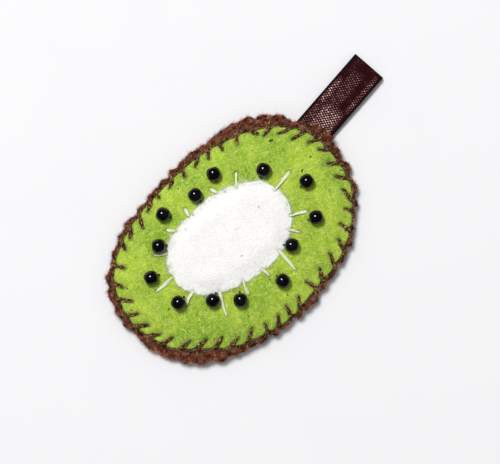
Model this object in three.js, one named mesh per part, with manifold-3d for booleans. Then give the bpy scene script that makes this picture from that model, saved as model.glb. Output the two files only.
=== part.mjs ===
import * as THREE from "three";
import { mergeVertices } from "three/addons/utils/BufferGeometryUtils.js";
import Module from "manifold-3d";

// A padded felt kiwi slice on a ribbon loop, lying on its back, in millimetres.
// +Z is up out of the green face and +X runs along the oval to the ribbon.
// The origin is the middle of the flat underside.

const FELT = 1.2; // thickness of the front and back felts
const CORE_FELT = 1.0; // thickness of the white felt
const GAP = 0.3; // clearance between neighbouring pieces
const EDGE_SOFT = 0.35; // how far a felt's cut edge is rounded
const RIM_RISE = 1.8; // height of the back felt's rim above the flat underside
const ROLL_FROM = 4; // distance in from the rim where the underside starts down
const ROLL_TO = 10; // distance in from the rim where the underside is flat
const DOME = 2.2; // rise of the front felt over the wadding
const SCALLOP = 0.45; // how far each edge stitch pulls the felts in
const EDGE_THREAD_R = 0.4; // radius of the brown thread
const CORE_THREAD_R = 0.36; // radius of the white thread
const BEAD_THREAD_R = 0.25; // radius of the black thread
const BEAD_R = 1.9; // outer radius of a bead
const BEAD_HALF = 1.6; // half its length along its hole
const BEAD_HOLE_R = BEAD_THREAD_R + GAP;
const BEAD_LEG = 2.2; // distance from a bead's middle to its thread's holes in the felt
const RIBBON_W = 10; // width of the ribbon
const RIBBON_T = 0.45; // thickness of its two ends together
const RIBBON_Z = 1.2; // height of the sewn ends above the underside
const RIBBON_ROOT = -6; // how far the ends reach in under the back felt
const RIBBON_LIFT = 1.1; // rise of both felts over the ribbon's ends
const RIBBON_BASE = new THREE.Vector2(36.9, 10);
const RIBBON_TURN = THREE.MathUtils.degToRad(9.8);

const FRONT_EDGE = [
  [35.4, -3], [35.6, 3], [34.7, 9.2], [31.9, 13.9], [27, 18.4], [19.5, 22], [8, 24.5], [-4, 24.3],
  [-15, 22.7], [-24, 19.7], [-31, 15], [-34.6, 9], [-36.2, 1], [-34.8, -5.5], [-32.2, -11.4],
  [-26.4, -16.6], [-19.5, -21.6], [-11, -24.6], [-1, -25.9], [8, -24.2], [18, -22.1], [25.5, -18],
  [31, -12.8], [34.2, -8],
];
const BACK_EDGE = [
  [36.6, -3], [37.3, 1.5], [38.2, 6.5], [36.6, 11], [33.4, 15.2], [30.6, 19.2], [25.5, 23.4],
  [18, 25.6], [6, 26.4], [-4, 25.6], [-14, 23.8], [-22, 21.9], [-30, 17.2], [-35.2, 12],
  [-37.5, 4], [-37.4, -3], [-35.8, -10], [-32, -16.6], [-25.5, -21.8], [-16, -24.9], [-5, -26.6],
  [4, -26.6], [13, -24.4], [22, -21.2], [29, -15.6], [33.8, -10.2],
];
const CORE_EDGE = [
  [17.7, 1], [16.8, 6], [13.6, 9.8], [8, 12.4], [1, 13.8], [-7, 13.2], [-13.5, 11.6], [-18, 7.8],
  [-19.8, 2.4], [-18.4, -3], [-14, -7.2], [-7, -10], [2, -10.9], [9, -9.6], [14.6, -6],
];
const CORE_MIDDLE = new THREE.Vector2(-0.7, 1.4);

// Middles of the beads, anticlockwise from the ribbon's end.
const BEADS = [
  [25, 0.1], [17.9, 9.8], [6.8, 17.4], [-0.6, 16.1], [-10.6, 17.6], [-16.85, 11.75], [-23.8, 6.4],
  [-22.4, -3.4], [-14.8, -8.8], [-9, -13.4], [3.1, -16.6], [11, -10.7], [20.8, -9],
];

// White stitches, anticlockwise: where each crosses the white felt's edge, and its outer end.
const CORE_STITCHES = [
  [[17.2, 3.7], [23, 5]], [[9.6, 10.9], [11.8, 13.9]], [[4.2, 13.3], [3.6, 14.9]],
  [[-5.4, 13.2], [-5.1, 15.1]], [[-11.2, 12.4], [-12.4, 13.8]], [[-16.9, 9.1], [-19.2, 10.5]],
  [[-19.8, 2.85], [-25, 2.7]], [[-17.8, -3.6], [-20.9, -5.3]], [[-12.1, -8.4], [-14.5, -14.4]],
  [[-5.3, -10.3], [-6.4, -13.6]], [[0.8, -10.9], [1.1, -13.3]], [[7.5, -10.1], [7.6, -16.5]],
  [[13.4, -7.4], [14.9, -9.3]], [[16, -4.4], [19.9, -6.2]],
];

// Brown edge stitches, anticlockwise: the hole in the front felt, and the point where the leg meets its rim.
const EDGE_STITCHES = [
  [[33.2, 4.5], [34.4, 3.4]], [[32.2, 7.8], [34.9, 7.3]], [[29.4, 11.3], [33, 11]],
  [[27.5, 14.8], [31.1, 14.5]], [[24.2, 17], [27.5, 18.2]], [[23, 18.6], [24.2, 21.4]],
  [[17, 19.8], [18.9, 22.6]], [[12.9, 21.2], [13.7, 23.4]], [[8.5, 21.7], [9.7, 23.7]],
  [[4.4, 22.4], [6.2, 23.8]], [[0.4, 21.9], [0.8, 24.2]], [[-4.5, 22.4], [-3.4, 24.5]],
  [[-8.7, 22], [-9.2, 24.2]], [[-13.2, 21.2], [-12, 23.4]], [[-17.1, 18.5], [-16.4, 21.7]],
  [[-21.6, 18.4], [-20.7, 20.9]], [[-24.6, 17], [-25, 18.9]], [[-28, 13.1], [-29.6, 15.2]],
  [[-31.7, 9.5], [-33.7, 11.7]], [[-32.1, 4.9], [-34.6, 7.3]], [[-33.1, 1.3], [-35.7, 2.6]],
  [[-32.8, -2.9], [-35.6, -1.2]], [[-31.9, -6.8], [-34.6, -5.6]], [[-29.9, -9.7], [-33.7, -9.6]],
  [[-26.9, -13.5], [-29.8, -13.6]], [[-23.1, -16], [-26.9, -16.5]], [[-19.4, -18.3], [-22.8, -19.4]],
  [[-16.3, -21], [-19.2, -21.9]], [[-11.7, -21.5], [-13.9, -23]], [[-8.1, -23], [-8.8, -25]],
  [[-3.9, -23.3], [-5.3, -25.3]], [[-0.6, -22.9], [-1.2, -25.3]], [[3.5, -23], [2.2, -25.3]],
  [[7.9, -21.1], [8.9, -23.9]], [[12.8, -20.7], [11.8, -23.6]], [[17.5, -19.3], [16.7, -22.2]],
  [[21.8, -17.8], [21.7, -20.6]], [[24.9, -14.7], [25.7, -17.2]], [[28.6, -12.4], [29.7, -13.9]],
  [[31.4, -8.2], [31.8, -11.7]], [[32.1, -3.9], [34.2, -6.2]], [[32.8, 0], [34.4, -1.4]],
];

const wasm = await Module();
wasm.setup();

const TURN = 2 * Math.PI;
const smooth = THREE.MathUtils.smoothstep;
const wrap = (angle) => THREE.MathUtils.euclideanModulo(angle, TURN);
const plane = ([x, y]) => new THREE.Vector2(x, y);

/** A closed smooth edge through hand-chosen points, read as a radius about its middle. */
class Outline {
  constructor(points, middle = new THREE.Vector2()) {
    const ring = points.map(([x, y]) => new THREE.Vector3(x - middle.x, y - middle.y, 0));
    this.middle = middle;
    this.curve = new THREE.CatmullRomCurve3(ring, true, "centripetal");
    this.start = Math.atan2(ring[0].y, ring[0].x);
  }

  /** Radius at an angle, found by halving the curve's parameter. */
  radius(angle) {
    const target = wrap(angle - this.start);
    let low = 0;
    let high = 1;
    for (let step = 0; step < 24; step += 1) {
      const half = (low + high) / 2;
      const point = this.curve.getPoint(half);
      if (wrap(Math.atan2(point.y, point.x) - this.start) < target) {
        low = half;
      } else {
        high = half;
      }
    }
    return this.curve.getPoint(low).length();
  }

  /** Distance in from the edge and share of the radius at a point. */
  measure(x, y) {
    const away = Math.hypot(x - this.middle.x, y - this.middle.y);
    const radius = this.radius(Math.atan2(y - this.middle.y, x - this.middle.x));
    return { inset: radius - away, share: away / radius };
  }

  /** Point at an angle, moved out from the edge, at a height worked out from its place. */
  point(angle, out, height) {
    const radius = Math.max(0, this.radius(angle) + out);
    const x = this.middle.x + radius * Math.cos(angle);
    const y = this.middle.y + radius * Math.sin(angle);
    return new THREE.Vector3(x, y, height(x, y));
  }
}

const FRONT = new Outline(FRONT_EDGE);
const BACK = new Outline(BACK_EDGE);
const CORE = new Outline(CORE_EDGE, CORE_MIDDLE);

/** Place along (x) and across (y) the ribbon, from the middle of its root. */
function ribbonPlace(x, y) {
  return new THREE.Vector2(x, y).sub(RIBBON_BASE).rotateAround(new THREE.Vector2(), -RIBBON_TURN);
}

/** Rise of both felts over the ribbon's ends. */
function lift(x, y) {
  const across = Math.abs(ribbonPlace(x, y).y);
  const inset = BACK.measure(x, y).inset;
  const near = x > 0 ? 1 : 0;
  return near * RIBBON_LIFT * (1 - smooth(inset, 6, ROLL_TO)) * (1 - smooth(across, 4.5, 10));
}

const rimBottom = (x, y) => RIM_RISE + lift(x, y);
const rimTop = (x, y) => rimBottom(x, y) + FELT;
const backBottom = (x, y) => {
  const rolled = 1 - smooth(BACK.measure(x, y).inset, ROLL_FROM, ROLL_TO);
  return RIM_RISE * rolled + lift(x, y);
};
const backTop = (x, y) => backBottom(x, y) + FELT;
const frontBottom = (x, y) => rimTop(x, y) + GAP + DOME * (1 - Math.min(1, FRONT.measure(x, y).share) ** 4);
const frontTop = (x, y) => frontBottom(x, y) + FELT;
const coreBottom = (x, y) => frontTop(x, y) + GAP;
const coreTop = (x, y) => coreBottom(x, y) + CORE_FELT;

/** Turns geometry into a solid that can be cut. */
function solidOf(geometry) {
  geometry.deleteAttribute("normal");
  geometry.deleteAttribute("uv");
  const merged = mergeVertices(geometry, 1e-4);
  const mesh = new wasm.Mesh({
    numProp: 3,
    vertProperties: new Float32Array(merged.attributes.position.array),
    triVerts: new Uint32Array(merged.index.array),
  });
  return new wasm.Manifold(mesh);
}

/** Turns a cut solid back into geometry. */
function geometryOf(solid) {
  const mesh = solid.getMesh();
  const geometry = new THREE.BufferGeometry();
  geometry.setAttribute("position", new THREE.BufferAttribute(mesh.vertProperties, 3));
  geometry.setIndex(new THREE.BufferAttribute(mesh.triVerts, 1));
  geometry.computeVertexNormals();
  return geometry;
}

/** Upright pins at the given places, for needle holes and bead seats. */
function pins(places, radius, sides) {
  const pin = new THREE.CylinderGeometry(radius, radius, 40, sides).rotateX(Math.PI / 2);
  const solid = solidOf(pin);
  return wasm.Manifold.union(places.map(({ x, y }) => solid.translate([x, y, 0])));
}

/** A felt oval: rings of points out from the middle on both faces, joined round a soft edge. */
function feltOval(outline, angles, insets, bottom, top, pull) {
  const middle = (x, y) => (bottom(x, y) + top(x, y)) / 2;
  const below = [Infinity, ...insets, EDGE_SOFT].map((inset) => ({ inset, height: bottom }));
  const above = [EDGE_SOFT, ...insets.toReversed(), Infinity].map((inset) => ({ inset, height: top }));
  const rows = [...below, { inset: 0, height: middle }, ...above];
  const profile = rows.map((row, index) => new THREE.Vector2(row.inset === Infinity ? 0 : 1, index));
  const oval = new THREE.LatheGeometry(profile, angles.length);
  const place = oval.attributes.position;
  for (let index = 0; index < place.count; index += 1) {
    const spoke = Math.floor(index / rows.length) % angles.length;
    const row = rows[index % rows.length];
    const drawn = spoke % 2 === 0 ? pull : 0;
    const point = outline.point(angles[spoke], -drawn - row.inset, row.height);
    place.setXYZ(index, point.x, point.y, point.z);
  }
  return oval;
}

/** A path that takes one ring of thread at each of its own points. */
class ThreadPath extends THREE.CatmullRomCurve3 {
  constructor(points) {
    super(points, false, "centripetal");
  }

  getPointAt(share) {
    return this.getPoint(share);
  }

  getTangentAt(share) {
    return this.getTangent(share);
  }

  getSpacedPoints(count) {
    return this.getPoints(count);
  }
}

/** A thread with a few flat sides, swept along points. */
function threadAlong(points, radius, sides) {
  const corners = Array.from({ length: sides }, (_, side) => {
    const angle = (side * TURN) / sides;
    return new THREE.Vector2(radius * Math.cos(angle), radius * Math.sin(angle));
  });
  const path = new ThreadPath(points);
  const options = { steps: points.length - 1, extrudePath: path, bevelEnabled: false };
  return new THREE.ExtrudeGeometry(new THREE.Shape(corners), options);
}

/** Points straight above one another at a place. */
function upright({ x, y }, heights) {
  return heights.map((height) => new THREE.Vector3(x, y, height));
}

// Edge stitches: angle where each meets the rim, its hole, and whether it goes through the ribbon.
const stitches = EDGE_STITCHES.map(([hole, rim]) => {
  const place = ribbonPlace(...hole);
  const held = Math.abs(place.y) < RIBBON_W / 2 + 0.7 && place.x > RIBBON_ROOT - 1.5;
  return { angle: wrap(Math.atan2(rim[1], rim[0])), hole: plane(hole), held };
});
const rimAngles = stitches.flatMap(({ angle }, index) => {
  const next = stitches[(index + 1) % stitches.length].angle;
  return [angle, angle + wrap(next - angle) / 2];
});

const edgeReach = GAP + EDGE_THREAD_R;
const afterAngle = (angle) => angle + 0.75 / FRONT.radius(angle);
const wrapPlace = ({ angle }) => BACK.point(afterAngle(angle), edgeReach, rimBottom);

/** One blanket stitch: over the front rim, down its hole, out under the back and round the back's rim. */
function edgeStitch(stitch, index) {
  const { angle, hole, held } = stitch;
  const before = angle - 0.75 / FRONT.radius(angle);
  const after = afterAngle(angle);
  const top = frontTop(hole.x, hole.y);
  const under = held ? RIBBON_Z : backBottom(hole.x, hole.y);
  const outside = wrapPlace(stitch);
  const outsideLow = (held ? RIBBON_Z : outside.z) - edgeReach + 0.1;
  const outsideHigh = rimTop(outside.x, outside.y);
  const onRim = (x, y) => rimTop(x, y) + edgeReach;
  const margin = BACK.radius(after) - FRONT.radius(after);
  const crossing = margin > 2.3 ? [FRONT.point(after, edgeReach, onRim)] : [];
  const next = stitches[(index + 1) % stitches.length].angle;
  const halfway = angle + wrap(next - angle) / 2;
  return [
    FRONT.point(before, edgeReach, onRim),
    FRONT.point(angle, -SCALLOP, (x, y) => frontTop(x, y) + edgeReach),
    ...upright(hole, [top + edgeReach, top - 0.1, under + 0.1, under - edgeReach]),
    ...upright(outside, [outsideLow, outsideHigh]),
    BACK.point(after, Math.max(-0.5, edgeReach - margin), onRim),
    ...crossing,
    FRONT.point(halfway, edgeReach + 0.1, onRim),
  ];
}

const edgePoints = stitches.flatMap(edgeStitch);
const ribbonHoles = stitches.filter(({ held }) => held).flatMap((stitch) => [stitch.hole, wrapPlace(stitch)]);

// White stitches: hole in the white felt a millimetre in from its edge, and hole in the green felt.
const coreStitches = CORE_STITCHES.map(([crossing, end]) => {
  const outer = plane(end);
  const along = outer.clone().sub(plane(crossing)).normalize();
  const inner = plane(crossing).addScaledVector(along, -1);
  const side = new THREE.Vector2(-along.y, along.x);
  return { inner, outer, along, side, crossing: plane(crossing) };
});
const coreReach = GAP + CORE_THREAD_R;

/** One white stitch: up through the white felt, over its edge, down outside it and back under. */
function coreStitch({ inner, outer, along, side, crossing }, index) {
  const level = ({ x, y }) => new THREE.Vector3(x, y, frontBottom(x, y) - coreReach);
  const high = coreTop(inner.x, inner.y);
  const innerLow = frontBottom(inner.x, inner.y);
  const outerTop = frontTop(outer.x, outer.y);
  const outerLow = frontBottom(outer.x, outer.y);
  const brow = crossing.clone().addScaledVector(along, 0.55);
  const back = inner.clone().addScaledVector(side, 1).addScaledVector(along, -0.5);
  const next = coreStitches[(index + 1) % coreStitches.length].inner;
  const inside = back.clone().lerp(next, 0.5);
  inside.add(CORE_MIDDLE.clone().sub(inside).setLength(2.5));
  const stitch = [
    ...upright(inner, [innerLow - coreReach, innerLow, high, high + coreReach]),
    ...upright(brow, [coreTop(brow.x, brow.y) + CORE_THREAD_R + GAP / 2]),
    ...upright(outer, [outerTop + coreReach, outerTop, outerLow, outerLow - coreReach]),
    level(back),
  ];
  return index === coreStitches.length - 1 ? stitch : [...stitch, level(inside)];
}

const corePoints = coreStitches.flatMap(coreStitch);

// Beads: middle, the way out from the slice's middle, and the height of the middle.
const beads = BEADS.map((place) => {
  const middle = plane(place);
  const out = middle.clone().normalize();
  return { middle, out, height: frontTop(middle.x, middle.y) + GAP + BEAD_R };
});
const beadLegs = beads.flatMap(({ middle, out }) => [
  middle.clone().addScaledVector(out, BEAD_LEG),
  middle.clone().addScaledVector(out, -BEAD_LEG),
]);

/** Height of the black thread under the front felt, kept clear of the back felt. */
function beadRun(x, y) {
  const deep = frontBottom(x, y) - GAP - 2 * CORE_THREAD_R - GAP - BEAD_THREAD_R;
  return Math.max(deep, backTop(x, y) + GAP + BEAD_THREAD_R);
}

/** The black thread through one bead, inward and outward by turns, and on to the next. */
function beadStitch({ middle, out, height }, index) {
  const way = index % 2 === 0 ? 1 : -1;
  const at = (distance) => middle.clone().addScaledVector(out, distance * way);
  const leg = (place) => [beadRun(place.x, place.y), frontTop(place.x, place.y) - 0.4, height - 1.1];
  const first = at(BEAD_LEG);
  const last = at(-BEAD_LEG);
  const through = [
    ...upright(first, leg(first)),
    ...upright(at(BEAD_LEG - 0.2), [height - 0.3]),
    ...upright(at(1.2), [height]),
    ...upright(at(-1.2), [height]),
    ...upright(at(0.2 - BEAD_LEG), [height - 0.3]),
    ...upright(last, leg(last).toReversed()),
  ];
  const following = beads[index + 1];
  if (!following) {
    return through;
  }
  const next = following.middle.clone().addScaledVector(following.out, -BEAD_LEG * way);
  const half = last.clone().lerp(next, 0.5);
  return [...through, new THREE.Vector3(half.x, half.y, beadRun(half.x, half.y))];
}

/** A glass bead: a rounded ring turned about its hole. */
function beadGeometry({ middle, out, height }) {
  const side = [
    [BEAD_HOLE_R, -0.7 * BEAD_HALF],
    [0.95, -BEAD_HALF],
    [1.5, -0.78 * BEAD_HALF],
    [BEAD_R, -0.28 * BEAD_HALF],
  ];
  const mirrored = side.toReversed().map(([radius, along]) => [radius, -along]);
  const loop = [...side, ...mirrored, side[0]].map(([radius, along]) => new THREE.Vector2(radius, along));
  const turned = new THREE.LatheGeometry(loop, 8);
  turned.rotateZ(Math.atan2(out.y, out.x) - Math.PI / 2);
  return turned.translate(middle.x, middle.y, height);
}

/** The ribbon seen from its edge: two ends pressed together, opening into a flat loop with a rounded fold. */
function ribbonGeometry() {
  const top = RIBBON_Z + RIBBON_T;
  const outer = [
    [RIBBON_ROOT, RIBBON_Z], [3, RIBBON_Z], [12, 0.8], [19, 0.35], [20.9, 0.5], [21.7, 1.1],
    [20.9, 1.75], [19, 1.95], [12, 1.95], [3, top], [RIBBON_ROOT, top],
  ];
  const inner = [
    [4.5, RIBBON_Z + RIBBON_T / 2], [12, 1.7], [19, 1.7], [20.7, 1.52], [21.4, 1.1], [20.7, 0.72],
    [19, 0.6], [12, 1.05],
  ];
  const shape = new THREE.Shape(outer.map(plane));
  shape.holes.push(new THREE.Path(inner.map(plane)));
  const band = new THREE.ExtrudeGeometry(shape, { depth: RIBBON_W, bevelEnabled: false });
  band.rotateX(Math.PI / 2);
  band.translate(0, RIBBON_W / 2, 0);
  band.rotateZ(RIBBON_TURN);
  return band.translate(RIBBON_BASE.x, RIBBON_BASE.y, 0);
}

const edgePins = pins(stitches.map(({ hole }) => hole), edgeReach, 5);
const innerPins = pins(coreStitches.map(({ inner }) => inner), coreReach, 5);
const outerPins = pins(coreStitches.map(({ outer }) => outer), coreReach, 5);
const beadPins = pins(beadLegs, BEAD_HOLE_R, 5);
const beadSeats = pins(beads.map(({ middle }) => middle), BEAD_R + GAP, 8);
const coreAngles = Array.from({ length: 30 }, (_, step) => (step * TURN) / 30);

const back = solidOf(feltOval(BACK, rimAngles, [ROLL_TO, 7, ROLL_FROM], backBottom, backTop, SCALLOP));
const front = solidOf(feltOval(FRONT, rimAngles, [13, 7, 2.8], frontBottom, frontTop, SCALLOP));
const core = solidOf(feltOval(CORE, coreAngles, [], coreBottom, coreTop, 0.15));
const ribbon = solidOf(ribbonGeometry());

/** The pad between the felts, under the threads. */
function waddingGeometry() {
  const top = (x, y) => frontBottom(x, y) - 3 * GAP - 2 * (CORE_THREAD_R + BEAD_THREAD_R);
  const inset = FRONT_EDGE.map(([x, y]) => plane([x, y]).setLength(Math.hypot(x, y) - 11));
  const pad = new Outline(inset.map((point) => point.toArray()));
  return feltOval(pad, coreAngles, [6], () => FELT + GAP, top, 0);
}

const slice = new THREE.Group();
slice.name = "felt_kiwi_slice";

/** Adds one named piece. */
function add(name, geometry, color, roughness) {
  const material = new THREE.MeshStandardMaterial({ color, roughness, metalness: 0 });
  material.name = name;
  const mesh = new THREE.Mesh(geometry, material);
  mesh.name = name;
  slice.add(mesh);
}

add("back_felt", geometryOf(back.subtract(edgePins)), 0x5f2d22, 0.95);
add("wadding", waddingGeometry(), 0xf2f0ea, 0.98);
const frontSewn = front.subtract(edgePins).subtract(innerPins).subtract(outerPins).subtract(beadPins);
add("front_felt", geometryOf(frontSewn), 0x9bc33c, 0.95);
const coreSewn = core.subtract(innerPins).subtract(beadSeats).subtract(beadPins);
add("core_felt", geometryOf(coreSewn), 0xf5f4f0, 0.95);
add("edge_thread", threadAlong(edgePoints, EDGE_THREAD_R, 5), 0x3d2019, 0.7);
add("core_thread", threadAlong(corePoints, CORE_THREAD_R, 4), 0xf7f6f2, 0.7);
add("bead_thread", threadAlong(beads.flatMap(beadStitch), BEAD_THREAD_R, 4), 0x121012, 0.7);
beads.forEach((bead, index) => {
  add(`bead_${String(index + 1).padStart(2, "0")}`, beadGeometry(bead), 0x0a090b, 0.08);
});
add("ribbon", geometryOf(ribbon.subtract(pins(ribbonHoles, edgeReach, 6))), 0x32141a, 0.4);

export default slice;
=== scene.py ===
"""Felt kiwi slice on a ribbon loop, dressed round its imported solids.

Shapes are worked out in millimetres in the solids' own frame and put into meshes in metres.
"""

import logging
import math
from dataclasses import dataclass, field
from enum import Enum
from itertools import accumulate
from typing import Callable, Sequence

import bpy
import numpy as np
from bpy.types import ID, Material, Mesh, Node, NodeSocket, NodeTree, Object
from mathutils import Matrix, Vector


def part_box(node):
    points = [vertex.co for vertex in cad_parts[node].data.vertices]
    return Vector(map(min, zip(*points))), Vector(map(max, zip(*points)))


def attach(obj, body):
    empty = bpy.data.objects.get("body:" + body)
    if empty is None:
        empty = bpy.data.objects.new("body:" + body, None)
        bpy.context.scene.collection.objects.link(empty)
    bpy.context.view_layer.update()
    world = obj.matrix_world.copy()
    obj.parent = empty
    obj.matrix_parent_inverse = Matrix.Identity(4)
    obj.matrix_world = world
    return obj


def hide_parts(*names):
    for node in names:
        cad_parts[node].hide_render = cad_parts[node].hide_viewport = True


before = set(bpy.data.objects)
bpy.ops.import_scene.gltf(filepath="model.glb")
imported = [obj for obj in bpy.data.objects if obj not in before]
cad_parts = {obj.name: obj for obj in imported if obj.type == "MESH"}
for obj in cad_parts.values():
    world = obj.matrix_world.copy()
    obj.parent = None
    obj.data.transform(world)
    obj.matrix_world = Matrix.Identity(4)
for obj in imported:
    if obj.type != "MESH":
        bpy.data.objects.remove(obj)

LOG = logging.getLogger("felt_slice")
MM = 0.001
TURN = 2.0 * math.pi
UP = np.array([0.0, 0.0, 1.0])
TINY = 1e-12
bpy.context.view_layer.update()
BEAD_COUNT = 13
PLY_STEP = 7.0  # how far apart the plies of a thread stand in its texture
ROOT_SPOTS = 60000  # spots spread over a felt, from which the roots of its loose fibres are chosen
CLUMP_WAVES = (0.8, 3.0)  # shortest and longest wave in the tone of loose fibres
Array = np.ndarray
Colour = tuple[float, float, float]
Pair = tuple[float, float]
Height = Callable[[Array, Array], Array]
Signal = NodeSocket | float
Tone = NodeSocket | Colour

FRONT_EDGE = [
    (35.4, -3), (35.6, 3), (34.7, 9.2), (31.9, 13.9), (27, 18.4), (19.5, 22), (8, 24.5), (-4, 24.3),
    (-15, 22.7), (-24, 19.7), (-31, 15), (-34.6, 9), (-36.2, 1), (-34.8, -5.5), (-32.2, -11.4),
    (-26.4, -16.6), (-19.5, -21.6), (-11, -24.6), (-1, -25.9), (8, -24.2), (18, -22.1), (25.5, -18),
    (31, -12.8), (34.2, -8),
]
BACK_EDGE = [
    (36.6, -3), (37.3, 1.5), (38.2, 6.5), (36.6, 11), (33.4, 15.2), (30.6, 19.2), (25.5, 23.4),
    (18, 25.6), (6, 26.4), (-4, 25.6), (-14, 23.8), (-22, 21.9), (-30, 17.2), (-35.2, 12),
    (-37.5, 4), (-37.4, -3), (-35.8, -10), (-32, -16.6), (-25.5, -21.8), (-16, -24.9), (-5, -26.6),
    (4, -26.6), (13, -24.4), (22, -21.2), (29, -15.6), (33.8, -10.2),
]
CORE_EDGE = [
    (17.7, 1), (16.8, 6), (13.6, 9.8), (8, 12.4), (1, 13.8), (-7, 13.2), (-13.5, 11.6), (-18, 7.8),
    (-19.8, 2.4), (-18.4, -3), (-14, -7.2), (-7, -10), (2, -10.9), (9, -9.6), (14.6, -6),
]
CORE_MIDDLE = (-0.7, 1.4)
SLIP = (0.0, -0.4)  # how far the sewn felts lie from their cut pattern
CORE_SLIP = (0.25, -0.33)
CORE_BITE = 0.5  # how far inside the white felt's edge each white stitch starts

# White stitches, anticlockwise: where each crosses the white felt's edge, and its outer end.
CORE_STITCHES = np.array([
    ((17.2, 3.7), (23, 5)), ((9.6, 10.9), (11.8, 13.9)), ((4.2, 13.3), (3.6, 14.9)),
    ((-5.4, 13.2), (-5.1, 15.1)), ((-11.2, 12.4), (-12.4, 13.8)), ((-16.9, 9.1), (-19.2, 10.5)),
    ((-19.8, 2.85), (-25, 2.7)), ((-17.8, -3.6), (-20.9, -5.3)), ((-12.1, -8.4), (-14.5, -14.4)),
    ((-5.3, -10.3), (-6.4, -13.6)), ((0.8, -10.9), (1.1, -13.3)), ((7.5, -10.1), (7.6, -16.5)),
    ((13.4, -7.4), (14.9, -9.3)), ((16, -4.4), (19.9, -6.2)),
])
CORE_CROSSINGS, CORE_ENDS = CORE_STITCHES[:, 0], CORE_STITCHES[:, 1]

# Brown edge stitches, anticlockwise: the hole in the front felt, and where the leg meets its rim.
EDGE_STITCHES = np.array([
    ((33.2, 4.5), (34.4, 3.4)), ((32.2, 7.8), (34.9, 7.3)), ((29.4, 11.3), (33, 11)),
    ((27.5, 14.8), (31.1, 14.5)), ((24.2, 17), (27.5, 18.2)), ((23, 18.6), (24.2, 21.4)),
    ((17, 19.8), (18.9, 22.6)), ((12.9, 21.2), (13.7, 23.4)), ((8.5, 21.7), (9.7, 23.7)),
    ((4.4, 22.4), (6.2, 23.8)), ((0.4, 21.9), (0.8, 24.2)), ((-4.5, 22.4), (-3.4, 24.5)),
    ((-8.7, 22), (-9.2, 24.2)), ((-13.2, 21.2), (-12, 23.4)), ((-17.1, 18.5), (-16.4, 21.7)),
    ((-21.6, 18.4), (-20.7, 20.9)), ((-24.6, 17), (-25, 18.9)), ((-28, 13.1), (-29.6, 15.2)),
    ((-31.7, 9.5), (-33.7, 11.7)), ((-32.1, 4.9), (-34.6, 7.3)), ((-33.1, 1.3), (-35.7, 2.6)),
    ((-32.8, -2.9), (-35.6, -1.2)), ((-31.9, -6.8), (-34.6, -5.6)), ((-29.9, -9.7), (-33.7, -9.6)),
    ((-26.9, -13.5), (-29.8, -13.6)), ((-23.1, -16), (-26.9, -16.5)), ((-19.4, -18.3), (-22.8, -19.4)),
    ((-16.3, -21), (-19.2, -21.9)), ((-11.7, -21.5), (-13.9, -23)), ((-8.1, -23), (-8.8, -25)),
    ((-3.9, -23.3), (-5.3, -25.3)), ((-0.6, -22.9), (-1.2, -25.3)), ((3.5, -23), (2.2, -25.3)),
    ((7.9, -21.1), (8.9, -23.9)), ((12.8, -20.7), (11.8, -23.6)), ((17.5, -19.3), (16.7, -22.2)),
    ((21.8, -17.8), (21.7, -20.6)), ((24.9, -14.7), (25.7, -17.2)), ((28.6, -12.4), (29.7, -13.9)),
    ((31.4, -8.2), (31.8, -11.7)), ((32.1, -3.9), (34.2, -6.2)), ((32.8, 0), (34.4, -1.4)),
])
EDGE_HOLES, EDGE_RIMS = EDGE_STITCHES[:, 0], EDGE_STITCHES[:, 1]


class Face(Enum):
    """Which faces of a felt carry loose fibres."""

    RIM = "rim"
    TOP = "top"


# Shared mathematics


def smooth(value: Array, low: float, high: float) -> Array:
    """Smooth step: 0 before low, 1 past high, 3t^2 - 2t^3 between.

    Args:
        value: Numbers to step.
        low: Where the step starts.
        high: Where it ends, above low or below it.

    Returns:
        The stepped numbers.
    """
    t = np.clip((value - low) / (high - low), 0.0, 1.0)
    return t * t * (3.0 - 2.0 * t)


def unit(vectors: Array) -> Array:
    """Vectors of length one along the last axis."""
    return vectors / np.maximum(np.linalg.norm(vectors, axis=-1, keepdims=True), TINY)


def xy(points: Array) -> tuple[Array, Array]:
    """X and Y of points."""
    return points[..., 0], points[..., 1]


def rings(side: Array, other: Array, angle: Array) -> Array:
    """A ring of points for each pair of axes: side * cos + other * sin of each angle."""
    return side[:, None] * np.cos(angle)[:, None] + other[:, None] * np.sin(angle)[:, None]


def stand(spots: Array, height: Array) -> Array:
    """Points at flat spots, one row each, at these heights."""
    return np.column_stack([spots, height])


def raised(spots: Array, surface: Height, rise: float) -> Array:
    """Points at flat spots, so far above a surface."""
    return stand(spots, surface(*xy(spots)) + rise)


def spline(points: Array, per_span: int, closed: bool = False) -> Array:
    """Smooth curve through points: knots a square root of the chord apart, three rounds of blending.

    Args:
        points: Points that the curve goes through, one row each.
        per_span: Samples from each point to the next.
        closed: Whether the curve comes back to its first point.

    Returns:
        Points on the curve, without the first point again on a closed one.
    """
    points = np.asarray(points, float)
    if closed:
        around = np.concatenate([points[-1:], points, points[:2]])
    else:
        around = np.concatenate([2 * points[:1] - points[1:2], points, 2 * points[-1:] - points[-2:-1]])
    chord = np.sqrt(np.maximum(np.linalg.norm(np.diff(around, axis=0), axis=1), TINY))[:, None, None]
    k1 = chord[:-2]
    k2 = k1 + chord[1:-1]
    k3 = k2 + chord[2:]
    k = k1 + (k2 - k1) * np.linspace(0, 1, per_span, endpoint=False)[None, :, None]
    p0, p1, p2, p3 = (p[:, None, :] for p in (around[:-3], around[1:-2], around[2:-1], around[3:]))
    a1 = p0 + (p1 - p0) * k / k1
    a2 = p1 + (p2 - p1) * (k - k1) / (k2 - k1)
    a3 = p2 + (p3 - p2) * (k - k2) / (k3 - k2)
    b1 = a1 + (a2 - a1) * k / k2
    b2 = a2 + (a3 - a2) * (k - k1) / (k3 - k1)
    curve = (b1 + (b2 - b1) * (k - k1) / (k2 - k1)).reshape(-1, points.shape[1])
    return curve if closed else np.concatenate([curve, points[-1:]])


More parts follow.
